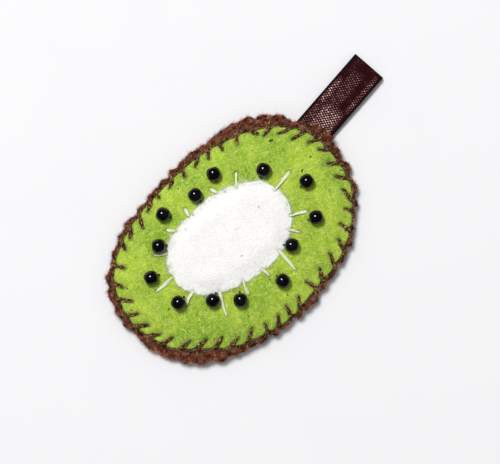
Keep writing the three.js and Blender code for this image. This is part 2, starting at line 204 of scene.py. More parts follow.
def run_along(path: Array) -> Array:
    """Distance along a path at each of its points."""
    return np.concatenate([[0.0], np.cumsum(np.linalg.norm(np.diff(path, axis=0), axis=1))])


def even_path(points: Array, spacing: float, per_span: int = 24) -> Array:
    """Curve through points, with samples an even distance apart along it.

    Args:
        points: Points that the curve goes through.
        spacing: Distance between samples.
        per_span: Samples from each point to the next in the curve that is measured.

    Returns:
        The samples, one row each.
    """
    dense = spline(points, per_span)
    run = run_along(dense)
    at = np.linspace(0.0, run[-1], max(3, round(run[-1] / spacing)))
    return np.stack([np.interp(at, run, dense[:, axis]) for axis in range(3)], axis=1)


def to_segments(x: Array, y: Array, starts: Array, ends: Array) -> Array:
    """Distance from each point to its nearest segment: the perpendicular's foot, held between the ends.

    Args:
        x: Places along X, any shape.
        y: Places along Y, the same shape.
        starts: First end of each segment.
        ends: Second end of each segment.

    Returns:
        Distances, in the shape of x.
    """
    nearest = np.full(x.shape, np.inf)
    for (ax, ay), (bx, by) in zip(starts, ends):
        dx, dy = bx - ax, by - ay
        t = np.clip(((x - ax) * dx + (y - ay) * dy) / max(dx * dx + dy * dy, TINY), 0.0, 1.0)
        nearest = np.minimum(nearest, np.hypot(x - ax - t * dx, y - ay - t * dy))
    return nearest


def to_places(x: Array, y: Array, places: Array) -> Array:
    """Distance from each point to the nearest of some places."""
    return to_segments(x, y, places, places)


@dataclass(frozen=True)
class Bell:
    """A soft dent or rise: height * exp(-(distance / width)^2)."""

    height: float
    width: float

    def __call__(self, distance: Array) -> Array:
        """Height at each distance from the middle."""
        return self.height * np.exp(-((distance / self.width) ** 2))


@dataclass(frozen=True)
class Lumps:
    """Soft unevenness: a sum of sine waves in random directions."""

    height: float
    shortest: float
    longest: float
    seed: int
    waves: int = 14

    def __call__(self, x: Array, y: Array) -> Array:
        """Unevenness at each place.

        Args:
            x: Places along X.
            y: Places along Y.

        Returns:
            Numbers mostly between the height and its negative.
        """
        rng = np.random.default_rng(self.seed)
        heading = rng.uniform(0, TURN, self.waves)
        length = rng.uniform(self.shortest, self.longest, self.waves)
        phase = rng.uniform(0, TURN, self.waves)
        along = x[..., None] * np.cos(heading) + y[..., None] * np.sin(heading)
        return self.height * (np.sin(along * TURN / length + phase).sum(axis=-1) / math.sqrt(self.waves))


class Outline:
    """A closed smooth edge through given points, read as a radius about its middle."""

    PER_SPAN = 40  # samples from each point to the next
    AREA_STEPS = 720

    def __init__(
        self, points: Sequence[Pair], middle: Pair = (0.0, 0.0), slip: Pair = SLIP, trim: float = 0.0,
    ) -> None:
        """Samples the edge once, as angle and radius.

        Args:
            points: Points of the cut pattern, anticlockwise.
            middle: Point that radii are measured from.
            slip: How far the sewn felt lies from its pattern.
            trim: How much smaller it is cut all round.
        """
        self.middle = np.array(middle)
        curve = spline(np.array(points, float) + slip - self.middle, self.PER_SPAN, closed=True)
        self.angles = np.arctan2(curve[:, 1], curve[:, 0])
        self.radii = np.hypot(curve[:, 0], curve[:, 1]) - trim

    def radius(self, angle: Array) -> Array:
        """Radius of the edge at each angle."""
        return np.interp(angle, self.angles, self.radii, period=TURN)

    def polar(self, x: Array, y: Array) -> tuple[Array, Array]:
        """Angle and distance of each place from the middle."""
        dx, dy = x - self.middle[0], y - self.middle[1]
        return np.arctan2(dy, dx), np.hypot(dx, dy)

    def inset(self, x: Array, y: Array) -> Array:
        """Distance in from the edge at each place, below 0 outside it."""
        angle, away = self.polar(x, y)
        return self.radius(angle) - away

    def place(self, angle: Array, radius: Array) -> tuple[Array, Array]:
        """Places at angles and distances from the middle."""
        return self.middle[0] + radius * np.cos(angle), self.middle[1] + radius * np.sin(angle)

    def beside(self, angle: Array, out: Array | float) -> Array:
        """Spots so far out from the edge, one row for each angle."""
        return np.stack(self.place(angle, self.radius(angle) + out), axis=-1)

    def area(self) -> float:
        """Area inside the edge: half the radius squared, summed over a turn."""
        return float(0.5 * np.mean(self.radius(np.linspace(0, TURN, self.AREA_STEPS)) ** 2) * TURN)


# Meshes


@dataclass
class Patch:
    """A grid of points, rows by columns, that closes round its columns."""

    points: Array
    poles: bool = False
    across: Array | None = None
    along: Array | None = None

    def numbers(self, offset: int) -> Array:
        """Number of each grid point in its mesh, from the patch's first on."""
        return offset + np.arange(self.points[..., 0].size).reshape(self.points.shape[:2])

    def faces(self, offset: int) -> list[list[int]]:
        """Faces with the row direction on the left of the column direction, so that they point outwards.

        Args:
            offset: Number of the patch's first vertex in its mesh.

        Returns:
            Quads between rows, then a cap over each end row.
        """
        grid = self.numbers(offset)
        right = np.roll(grid, -1, axis=1)
        quads = np.stack([grid[:-1], right[:-1], right[1:], grid[1:]], axis=-1).reshape(-1, 4).tolist()
        if not self.poles:
            return quads + [grid[0, ::-1].tolist(), grid[-1].tolist()]
        low = np.full(grid.shape[1], offset + grid.size)
        high = low + 1
        fans = [np.stack([low, right[0], grid[0]], axis=1), np.stack([high, grid[-1], right[-1]], axis=1)]
        return quads + np.concatenate(fans).tolist()

    def vertices(self) -> Array:
        """All points, row by row.

        Returns:
            One row each, with the two pole points last where the patch has poles.
        """
        flat = self.points.reshape(-1, 3)
        if not self.poles:
            return flat
        return np.concatenate([flat, self.points[:1].mean(axis=1), self.points[-1:].mean(axis=1)])

    def corners(self) -> Array:
        """Texture places of a patch without poles: across runs past its end at the seam, so nothing smears.

        Returns:
            One row for each face corner, with zeros on the end caps.
        """
        u = np.stack([self.along[:-1], self.along[:-1], self.along[1:], self.along[1:]], axis=-1)
        v = np.stack([self.across[:-1], self.across[1:], self.across[1:], self.across[:-1]], axis=-1)
        quads = np.stack(np.broadcast_arrays(u[:, None, :], v[None, :, :]), axis=-1).reshape(-1, 2)
        return np.concatenate([quads, np.zeros((2 * self.points.shape[1], 2))])


class RingPatch(Patch):
    """A patch that closes along its rows too, as a ring does."""

    def faces(self, offset: int) -> list[list[int]]:
        """Quads all round, with no ends.

        Args:
            offset: Number of the patch's first vertex in its mesh.

        Returns:
            The quads.
        """
        grid = self.numbers(offset)
        right, after = np.roll(grid, -1, axis=1), np.roll(grid, -1, axis=0)
        return np.stack([grid, right, np.roll(after, -1, axis=1), after], axis=-1).reshape(-1, 4).tolist()


def put_in_scene(name: str, data: ID) -> Object:
    """Makes an object of a mesh, camera or lamp.

    Args:
        name: Name of the object.
        data: What it shows.

    Returns:
        The object, linked to the scene.
    """
    item = bpy.data.objects.new(name, data)
    bpy.context.scene.collection.objects.link(item)
    return item


def keep_values(mesh: Mesh, name: str, values: Array) -> None:
    """Keeps a number for each vertex, which a finish reads by its name."""
    mesh.attributes.new(name, "FLOAT", "POINT").data.foreach_set("value", values.astype(np.float32))


def finish_piece(mesh: Mesh, material: Material) -> Object:
    """Smooth-shades a mesh and makes it an object that rides with the slice.

    Args:
        mesh: The mesh, which gives the piece its name.
        material: Finish of the piece.

    Returns:
        The object, linked to the scene.
    """
    mesh.shade_smooth()
    mesh.materials.append(material)
    piece = put_in_scene(mesh.name, mesh)
    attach(piece, "root")
    LOG.info("%s: %d faces", mesh.name, len(mesh.polygons))
    return piece


def make_piece(
    name: str, patches: Sequence[Patch], material: Material,
    textured: bool = False, shade_shares: Array | None = None,
) -> Object:
    """Puts patches, worked out in millimetres, into one smooth-shaded object at the origin.

    Args:
        name: Name of the piece.
        patches: Grids of points that make it.
        material: Finish of the piece.
        textured: Whether it keeps texture places.
        shade_shares: Share of painted shade, in a needle hole or beside another felt, at each grid point of
            a single patch.

    Returns:
        The object, linked to the scene.
    """
    offsets = list(accumulate((len(patch.vertices()) for patch in patches), initial=0))
    vertices = np.concatenate([patch.vertices() for patch in patches]) * MM
    faces = [face for patch, offset in zip(patches, offsets) for face in patch.faces(offset)]
    mesh = bpy.data.meshes.new(name)
    mesh.from_pydata(vertices.tolist(), [], faces)
    if textured:
        places = np.concatenate([patch.corners() for patch in patches])
        mesh.uv_layers.new(name="UVMap").data.foreach_set("uv", places.astype(np.float32).ravel())
    if shade_shares is not None:
        keep_values(mesh, "painted_shade", np.pad(shade_shares.ravel(), (0, len(vertices) - shade_shares.size)))
    return finish_piece(mesh, material)


def stands_for(node: str) -> None:
    """Hides the imported solid that a piece stands for.

    Args:
        node: Solid that it stands for.
    """
    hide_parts(node)


@dataclass(frozen=True)
class Fibres:
    """Loose fibres: thin three-sided spikes that bend from their root to a point."""

    QUADS = np.array([(0, 1, 4, 3), (1, 2, 5, 4), (2, 0, 3, 5)])
    ENDS = np.array([(0, 2, 1), (3, 4, 6), (4, 5, 6), (5, 3, 6)])
    SIDES = 3
    VERTICES = 7

    count: int
    shortest: float
    longest: float
    radius: float
    lie: float  # 0 stands straight out, 1 lies flat
    seed: int
    darkness: float = 1.0  # above 1 most fibres are dark, below 1 most are pale
    clump: float = 0.0  # how far the tone drifts from place to place
    scatter: float = 0.12
    curl: float = 0.45
    waist: float = 0.75

    def make(self, name: str, roots: Array, normals: Array, material: Material) -> Object:
        """Grows fibres: root + way * t + bend * t^2, at t 0, a half and 1, with the last ring a point.

        Args:
            name: Name of the piece.
            roots: Points to choose roots from.
            normals: Way out of the felt at each.
            material: Finish, which reads the shade attribute.

        Returns:
            One object holding every fibre.
        """
        rng = np.random.default_rng(self.seed)
        each, threes = (self.count, 1), (self.count, 3)
        pick = rng.integers(0, len(roots), self.count)
        jitter = rng.normal(0, self.scatter, threes)
        normal = normals[pick]
        flat = unit(np.cross(normal, rng.normal(0, 1, threes)))
        way = unit(normal * (1 - self.lie) + flat * self.lie)
        length = rng.uniform(self.shortest, self.longest, each) * rng.uniform(0.5, 1, each)
        bend = unit(rng.normal(0, 1, threes) + flat) * length * self.curl
        start = roots[pick] + jitter * flat - normal * self.radius * 2
        side = unit(np.cross(way, rng.normal(0, 1, threes)))
        ring = self.radius * rings(side, np.cross(way, side), np.arange(self.SIDES) * TURN / self.SIDES)
        half, tip = (start + way * length * t + bend * t * t for t in (0.5, 1.0))
        levels = [start[:, None] + ring, half[:, None] + ring * self.waist, tip[:, None]]
        points = np.concatenate(levels, axis=1).reshape(-1, 3) * MM
        base = (np.arange(self.count) * self.VERTICES)[:, None, None]
        quads, ends = (self.QUADS + base).reshape(-1, 4), (self.ENDS + base).reshape(-1, 3)
        mesh = bpy.data.meshes.new(name)
        mesh.from_pydata(points.tolist(), [], quads.tolist() + ends.tolist())
        clumped = Lumps(self.clump, *CLUMP_WAVES, seed=self.seed)(*xy(start))
        shade = np.clip(rng.uniform(0, 1, self.count) ** self.darkness + clumped, 0, 1)
        keep_values(mesh, "shade", np.repeat(shade, self.VERTICES))
        return finish_piece(mesh, material)


@dataclass(frozen=True)
class Yarn:
    """A thread of several twisted plies."""

    FIRST_LEAN = (0.31, 0.17, 0.93)  # any way that no thread starts along

    plies: int
    ply_radius: float
    offset: float  # from the thread's middle to a ply's
    turns: float
    lay: float = 0.0
    point: float = 0.35
    taper: float = 1.0
    closing: float = 1.1  # length over which the plies close up
    flat: float = 1.0  # a ply's height as a share of its width
    sides: int = 6
    spacing: float = 0.24

    def patches(self, route: Array) -> list[Patch]:
        """Plies round a route: each circles the path so many turns in a millimetre.

        The frame is carried along the path: each side vector leans a little to the level, by the yarn's
        lay, and loses its part along the tangent. So plies with much lay and few turns lie side by side.
        Where the path goes up or down through a hole, the plies close up to the point share of their
        offset and thin down to the taper share of their radius.

        Args:
            route: Points that the thread goes through, in millimetres.

        Returns:
            One tube for each ply.
        """
        path = even_path(route, self.spacing)
        tangent = unit(np.gradient(path, axis=0))
        level = np.cross(tangent, UP)

        def carry(side: Array, step: tuple[Array, Array]) -> Array:
            """Next side vector.

            Args:
                side: The last one.
                step: The step's tangent and level direction.

            Returns:
                A vector of length one, square to the tangent.
            """
            way, flat = step
            leant = side + self.lay * flat * math.copysign(1.0, np.dot(side, flat))
            return unit(leant - way * np.dot(leant, way))

        start = carry(np.cross(tangent[0], self.FIRST_LEAN), (tangent[0], level[0]))
        side = np.array(list(accumulate(zip(tangent[1:], level[1:]), carry, initial=start)))
        other = np.cross(tangent, side)
        run = run_along(path)
        window = max(1, round(self.closing / self.spacing))
        spread = np.convolve(np.linalg.norm(level, axis=1), np.full(window, 1 / window), "same")
        offset = self.offset * (self.point + (1 - self.point) * spread)[:, None]
        radius = self.ply_radius * (self.taper + (1 - self.taper) * spread)[:, None, None]
        ring = radius * rings(side, self.flat * other, np.arange(self.sides) * TURN / self.sides)
        girth = np.linspace(0, TURN * self.ply_radius, self.sides + 1)
        tubes = []
        for ply in range(self.plies):
            turn = (run * TURN * self.turns + ply * TURN / self.plies)[:, None]
            middle = path + offset * (side * np.cos(turn) + other * np.sin(turn))
            tubes.append(Patch(middle[:, None] + ring, across=girth + ply * PLY_STEP, along=run))
        return tubes


def fray(
    name: str, plies: Sequence[Patch], fibres: Fibres, material: Material,
    surface: Height, rise: float, facing: float,
) -> Object:
    """Grows loose fibres on what shows of a thread, straight out of its plies.

    Args:
        name: Name of the piece.
        plies: The thread's tubes.
        fibres: Loose fibres to grow.
        material: Their finish.
        surface: Height of what the thread lies on.
        rise: How far above it the thread starts to show.
        facing: How far up a spot on a ply has to face.

    Returns:
        One object holding every fibre.
    """
    roots = np.concatenate([ply.points.reshape(-1, 3) for ply in plies])
    outward = [ply.points - ply.points.mean(axis=1, keepdims=True) for ply in plies]
    ways = unit(np.concatenate([way.reshape(-1, 3) for way in outward]))
    shown = (roots[:, 2] > surface(*xy(roots)) + rise) & (ways[:, 2] > facing)
    return fibres.make(name, roots[shown], ways[shown], material)


# Finishes


class Nodes:
    """A node tree with short ways to add nodes and join them."""

    COLOURS = (6, 7)  # the mix node's inputs for two colours
    MIXED = 2  # its output for a colour

    def __init__(self, tree: NodeTree) -> None:
        """Keeps the tree."""
        self.tree = tree

    def feed(self, node: Node, inputs: dict) -> None:
        """Sets a node's inputs, on its own sockets or by links.

        Args:
            node: The node.
            inputs: Value or output socket for each input, by name or number.
        """
        for key, value in inputs.items():
            if isinstance(value, NodeSocket):
                self.tree.links.new(value, node.inputs[key])
            else:
                node.inputs[key].default_value = value

    def add(self, kind: str, inputs: dict | None = None, **settings: object) -> Node:
        """Adds a node.

        Args:
            kind: Blender's name of the node type, without ShaderNode.
            inputs: Value or output socket for each input, by name or number.
            settings: Properties of the node.

        Returns:
            The node.
        """
        node = self.tree.nodes.new(f"ShaderNode{kind}")
        for key, value in settings.items():
            setattr(node, key, value)
        self.feed(node, inputs or {})
        return node

    def math(self, operation: str, first: Signal, second: Signal = 0.0) -> NodeSocket:
        """One sum on numbers or sockets."""
        return self.add("Math", {0: first, 1: second}, operation=operation).outputs[0]

    def times(self, first: Signal, second: Signal) -> NodeSocket:
        """Product of two numbers or sockets."""
        return self.math("MULTIPLY", first, second)

    def plus(self, first: Signal, second: Signal) -> NodeSocket:
        """Sum of two numbers or sockets."""
        return self.math("ADD", first, second)

    def noise(
        self, place: NodeSocket, scale: Signal, detail: float = 2.0, rough: float = 0.5,
    ) -> NodeSocket:
        """Noise between 0 and 1."""
        inputs = {"Vector": place, "Scale": scale, "Detail": detail, "Roughness": rough}
        return self.add("TexNoise", inputs).outputs["Fac"]

    def step(self, value: Signal, low: float, high: float) -> NodeSocket:
        """Smooth step from low to high."""
        inputs = {"Value": value, "From Min": low, "From Max": high}
        return self.add("MapRange", inputs, interpolation_type="SMOOTHSTEP").outputs["Result"]

    def blend(self, share: Signal, first: Tone, second: Tone) -> NodeSocket:
        """Mixes two colours.

        Args:
            share: Share of the second colour.
            first: First colour, or the socket that gives it.
            second: Second colour, or the socket that gives it.

        Returns:
            The mixed colour.
        """
        inputs = {"Factor": share}
        for key, tone in zip(self.COLOURS, (first, second)):
            inputs[key] = (*tone, 1.0) if isinstance(tone, tuple) else tone
        return self.add("Mix", inputs, data_type="RGBA").outputs[self.MIXED]

    def bump(self, height: NodeSocket, strength: float, distance: float) -> NodeSocket:
        """Normal of a surface with fine relief."""
        return self.add("Bump", {"Height": height, "Strength": strength, "Distance": distance}).outputs[0]


def shader_for(name: str) -> tuple[Material, Nodes, Node]:
    """Makes a material.

    Args:
        name: Name of the finish.

    Returns:
        The material, its nodes and its Principled shader.
    """
    material = bpy.data.materials.new(name)
    material.use_nodes = True
    return material, Nodes(material.node_tree), material.node_tree.nodes["Principled BSDF"]


def scaled(colour: Colour, times: float) -> Colour:
    """A colour so many times as bright."""
    return tuple(times * part for part in colour)


def matted_fibres() -> NodeTree:
    """Builds the felt group: long thin streaks of noise in four directions, soft blotches and specks.

    Returns:
        The group, with Place, Fibre width and Blotch size in, and Blotch, Fibre, Speck and Height out.
    """
    group = bpy.data.node_groups.new("matted_fibres", "ShaderNodeTree")
    for name, kind in {"Place": "Vector", "Fibre width": "Float", "Blotch size": "Float"}.items():
        group.interface.new_socket(name, in_out="INPUT", socket_type=f"NodeSocket{kind}")
    for name in ("Blotch", "Fibre", "Speck", "Height"):
        group.interface.new_socket(name, in_out="OUTPUT", socket_type="NodeSocketFloat")
    nodes = Nodes(group)
    place, width, blotch_size = group.nodes.new("NodeGroupInput").outputs[:3]
    warp = nodes.add("TexNoise", {"Vector": place, "Scale": 260.0, "Detail": 2.0}).outputs["Color"]
    sway = (0.0009, 0.0009, 0.0009)
    bent = nodes.add("VectorMath", {0: warp, 1: sway, 2: place}, operation="MULTIPLY_ADD").outputs[0]
    size = nodes.add("CombineXYZ", {0: nodes.times(width, 9.0), 1: width, 2: width}).outputs[0]
    streaks = []
    for heading in (0.15, 0.95, 1.75, 2.6):
        along = {"Vector": bent, "Rotation": (0.25, -0.2, heading), "Scale": size}
        turned = nodes.add("Mapping", along, vector_type="TEXTURE").outputs[0]
        streaks.append(nodes.noise(turned, scale=1.0, detail=1.0))
    pairs = [nodes.math("MAXIMUM", *streaks[:2]), nodes.math("MAXIMUM", *streaks[2:])]
    fibre = nodes.step(nodes.math("MAXIMUM", *pairs), low=0.52, high=0.72)
    patchy = nodes.noise(place, nodes.math("DIVIDE", 1.0, blotch_size), detail=4.0, rough=0.62)
    blotch = nodes.step(patchy, low=0.32, high=0.68)
    speck = nodes.noise(bent, scale=2000.0, detail=2.0)
    height = nodes.plus(nodes.times(fibre, 0.7), nodes.times(blotch, 0.5))
    given_out = {"Blotch": blotch, "Fibre": fibre, "Speck": speck, "Height": height}
    nodes.feed(group.nodes.new("NodeGroupOutput"), given_out)
    return group


def fuzz_material(name: str, dark: Colour, light: Colour, sheen: float) -> Material:
    """Loose fibres' material, in which each fibre takes its own tone from the shade attribute.

    Args:
        name: Name of the finish.
        dark: Darkest fibre.
        light: Palest fibre.
        sheen: Strength of the soft shine on the fibres' flanks.

    Returns:
        The material.
    """
    material, nodes, shader = shader_for(name)
    shade = nodes.add("Attribute", attribute_name="shade").outputs["Fac"]
    nodes.feed(shader, {
        "Base Color": nodes.blend(shade, dark, light),
        "Roughness": 0.9, "Specular IOR Level": 0.0, "Sheen Weight": sheen,
    })
    return material


@dataclass(frozen=True)
class FeltFinish:
    """Matted felt: blotches between a dark and a light tone, pale fibres on top, lint, and painted shade in
    needle holes and beside other felts.
    """

    name: str
    dark: Colour
    light: Colour
    fibre: Colour
    glint: Colour
    fibre_share: float = 0.5
    speck_share: float = 0.6
    relief: float = 0.00022
    sheen: float = 0.1
    fibre_width: float = 0.00032
    blotch: float = 0.0019
    lint: float = 0.0
    lint_colour: Colour = (0.02, 0.012, 0.01)
    # Darkest tone of the loose fibres where it differs from the felt's; on the white felt it is painted
    # green light showing through from below.
    loose: Colour | None = None

    def material(self, group: NodeTree) -> Material:
        """Felt sheet's material on Object coordinates.

        Args:
            group: The matted fibre group.

        Returns:
            The material.
        """
        material, nodes, shader = shader_for(self.name)
        place = nodes.add("TexCoord").outputs["Object"]
        sizes = {"Place": place, "Fibre width": self.fibre_width, "Blotch size": self.blotch}
        felted = nodes.add("Group", sizes, node_tree=group).outputs
        wide = nodes.step(nodes.noise(place, scale=120.0, detail=3.0), low=0.35, high=0.65)
        tone = nodes.plus(nodes.times(felted["Blotch"], 0.4), nodes.times(wide, 0.6))
        strands = nodes.times(felted["Fibre"], self.fibre_share)
        bright = nodes.times(nodes.step(felted["Speck"], low=0.6, high=0.7), self.speck_share)
        dull = nodes.times(nodes.step(felted["Speck"], low=0.44, high=0.3), self.speck_share)
        specks = nodes.step(nodes.noise(place, scale=800.0, detail=0.0), low=0.79, high=0.83)
        # Painted shade: each vertex's share darkens the felt in needle holes and beside another felt.
        painted_shade = nodes.add("Attribute", attribute_name="painted_shade").outputs["Fac"]
        colour = nodes.blend(tone, self.dark, self.light)
        colour = nodes.blend(dull, colour, scaled(self.dark, 0.55))
        colour = nodes.blend(strands, colour, self.fibre)
        colour = nodes.blend(bright, colour, self.glint)
        colour = nodes.blend(nodes.times(specks, self.lint), colour, self.lint_colour)
        colour = nodes.blend(painted_shade, colour, scaled(self.dark, 0.12))
        nodes.feed(shader, {
            "Base Color": colour,
            "Normal": nodes.bump(felted["Height"], strength=0.8, distance=self.relief),
            "Roughness": 0.95, "Specular IOR Level": 0.02,
            "Sheen Weight": self.sheen, "Sheen Roughness": 0.6,
        })
        return material

    def fuzz(self) -> Material:
        """Loose fibres of the same felt, whose darkest tone may be one of their own."""
        return fuzz_material(f"{self.name}_fuzz", self.loose or self.dark, self.glint, self.sheen)


@dataclass(frozen=True)
class ThreadFinish:
    """Spun thread: fine streaks along each ply, from a dark tone to a pale tone; the pale streaks are
    painted glints.
    """

    name: str
    dark: Colour
    light: Colour
    glint: float
    roughness: float
    streak: Pair = (1.7, 12.6)
    contrast: float = 0.0
    sheen: float = 0.0
    # Where in the streak noise the painted glints start.
    glint_from: float = 0.4
    slant: float = 0.5
    relief: float = 0.00008

    def material(self) -> Material:
        """Thread's material on its own texture places: along the ply and round it, in millimetres.

        Returns:
            The material, in which each ply has a tone of its own.
        """
        material, nodes, shader = shader_for(self.name)
        places = nodes.add("TexCoord").outputs
        turned = {"Vector": places["UV"], "Rotation": (0.0, 0.0, self.slant), "Scale": (*self.streak, 1.0)}
        slanting = nodes.add("Mapping", turned).outputs[0]
        # Painted glints: pale streaks along the plies, dimmed in places by a noise mask.
        streak = nodes.step(nodes.noise(slanting, scale=1.0, detail=3.0), low=self.glint_from, high=0.64)
        glint_mask = nodes.step(nodes.noise(places["Object"], scale=420.0, detail=2.0), low=0.42, high=0.62)
        tone = nodes.times(streak, nodes.plus(nodes.times(glint_mask, self.glint), 1.0 - self.glint))
        round_ply = nodes.add("SeparateXYZ", {0: places["UV"]}).outputs[1]
        ply = nodes.math("FLOOR", nodes.math("DIVIDE", nodes.plus(round_ply, 0.5), PLY_STEP))
        paler = nodes.plus(nodes.times(ply, 0.5 * self.contrast), 1.0 - self.contrast)
        nodes.feed(shader, {
            "Base Color": nodes.blend(nodes.times(tone, paler), self.dark, self.light),
            "Normal": nodes.bump(streak, strength=0.7, distance=self.relief),
            "Roughness": self.roughness, "Specular IOR Level": 0.05, "Sheen Weight": self.sheen,
        })
        return material

    def fuzz(self) -> Material:
        """Loose fibres of the same thread."""
        return fuzz_material(f"{self.name}_fuzz", self.dark, self.light, self.sheen)


@dataclass(frozen=True)
class GlassFinish:
    """Polished opaque glass with a faint haze of handling."""

    name: str
    colour: Colour
    haze: float = 0.07
    paler: float = 2.2

    def material(self) -> Material:
        """Bead's material on Object coordinates.

        Returns:
            The material.
        """
        material, nodes, shader = shader_for(self.name)
        place = nodes.add("TexCoord").outputs["Object"]
        depth = nodes.step(nodes.noise(place, scale=300.0, detail=1.0), low=0.4, high=0.7)
        nodes.feed(shader, {
            "Base Color": nodes.blend(depth, self.colour, scaled(self.colour, self.paler)),
            "Roughness": nodes.times(nodes.noise(place, scale=900.0, detail=2.0), self.haze),
            "IOR": 1.52, "Specular IOR Level": 0.34,
        })
        return material


@dataclass(frozen=True)
class PaintedHighlight:
    """A soft-edged patch of painted highlight on the ribbon, where it would catch the light, in millimetres
    along and across.
    """

    start: float
    end: float
    middle: float
    half: float
    strength: float
    start_edge: Pair = (-1.0, 1.0)
    end_edge: Pair = (1.5, -2.0)
    side_edge: Pair = (0.6, -0.4)

    def mask(self, nodes: Nodes, along: NodeSocket, across: NodeSocket) -> NodeSocket:
        """Strength of the patch at each place.

        Args:
            nodes: Tree to build in.
            along: Place along the ribbon.
            across: Place across it.

        Returns:
            A number from 0 to the strength.
        """
        begun = nodes.step(along, *(self.start + soft for soft in self.start_edge))
        ended = nodes.step(along, *(self.end + soft for soft in self.end_edge))
        aside = nodes.math("ABSOLUTE", nodes.math("SUBTRACT", across, self.middle))
        within = nodes.step(aside, *(self.half + soft for soft in self.side_edge))
        return nodes.times(nodes.times(nodes.times(begun, ended), within), self.strength)


@dataclass(frozen=True)
class SatinFinish:
    """Satin ribbon: a slanting lattice of floats on a dark ground, between plain selvages; the floats carry
    painted highlights.
    """

    name: str
    ground: Colour
    selvage: Colour
    # Colours of the floats' painted highlight, bright and dim.
    float_highlight: Colour
    dim_float_highlight: Colour
    pitch: float
    row: float
    slant: float
    half_width: float
    # Patches where the floats are painted bright, as painted highlights.
    painted_highlights: tuple[PaintedHighlight, ...]
    selvage_width: Pair = (0.55, 0.95)
    # Strength of the faint painted highlight on the floats everywhere.
    faint_painted_shine: float = 0.1
    relief: float = 0.00008

    def material(self) -> Material:
        """Ribbon's material on its own texture places, in millimetres along and across.

        Two slanting waves are multiplied, so that their crests make a lattice of dots.

        Returns:
            The material.
        """
        material, nodes, shader = shader_for(self.name)
        place = nodes.add("TexCoord").outputs["UV"]
        along, across = nodes.add("SeparateXYZ", {0: place}).outputs[:2]
        turned = nodes.add("Mapping", {"Vector": place, "Rotation": (0.0, 0.0, -self.slant)}).outputs[0]
        down, over = nodes.add("SeparateXYZ", {0: turned}).outputs[:2]
        down = nodes.times(down, math.pi / self.pitch)
        over = nodes.times(over, math.pi / self.row)
        waves = [nodes.math("COSINE", nodes.math(way, down, over)) for way in ("ADD", "SUBTRACT")]
        lattice = nodes.math("ABSOLUTE", nodes.times(*waves))
        edges = (self.half_width - width for width in self.selvage_width)
        woven = nodes.step(nodes.math("ABSOLUTE", across), *edges)
        # Painted highlight: faint everywhere in soft clouds, full in each painted patch.
        cloudy = nodes.step(nodes.noise(place, scale=0.5, detail=2.0), low=0.45, high=0.8)
        painted_shine = nodes.times(nodes.plus(cloudy, 0.05), self.faint_painted_shine)
        for patch in self.painted_highlights:
            painted_shine = nodes.math("MAXIMUM", painted_shine, patch.mask(nodes, along, across))
        # Painted highlight colour of the floats: bright where a noise sparkles, dim elsewhere.
        spark = nodes.step(nodes.noise(place, scale=1.7, detail=2.0), low=0.44, high=0.6)
        dots = nodes.step(lattice, low=0.52, high=0.8)
        light = nodes.times(nodes.times(dots, painted_shine), woven)
        thread = nodes.blend(spark, self.dim_float_highlight, self.float_highlight)
        ground = nodes.blend(woven, self.selvage, self.ground)
        nodes.feed(shader, {
            "Base Color": nodes.blend(light, ground, thread),
            "Normal": nodes.bump(nodes.times(lattice, woven), strength=0.6, distance=self.relief),
            "Roughness": 0.6, "Specular IOR Level": 0.01,
        })
        return material


# The slice's form and its felts


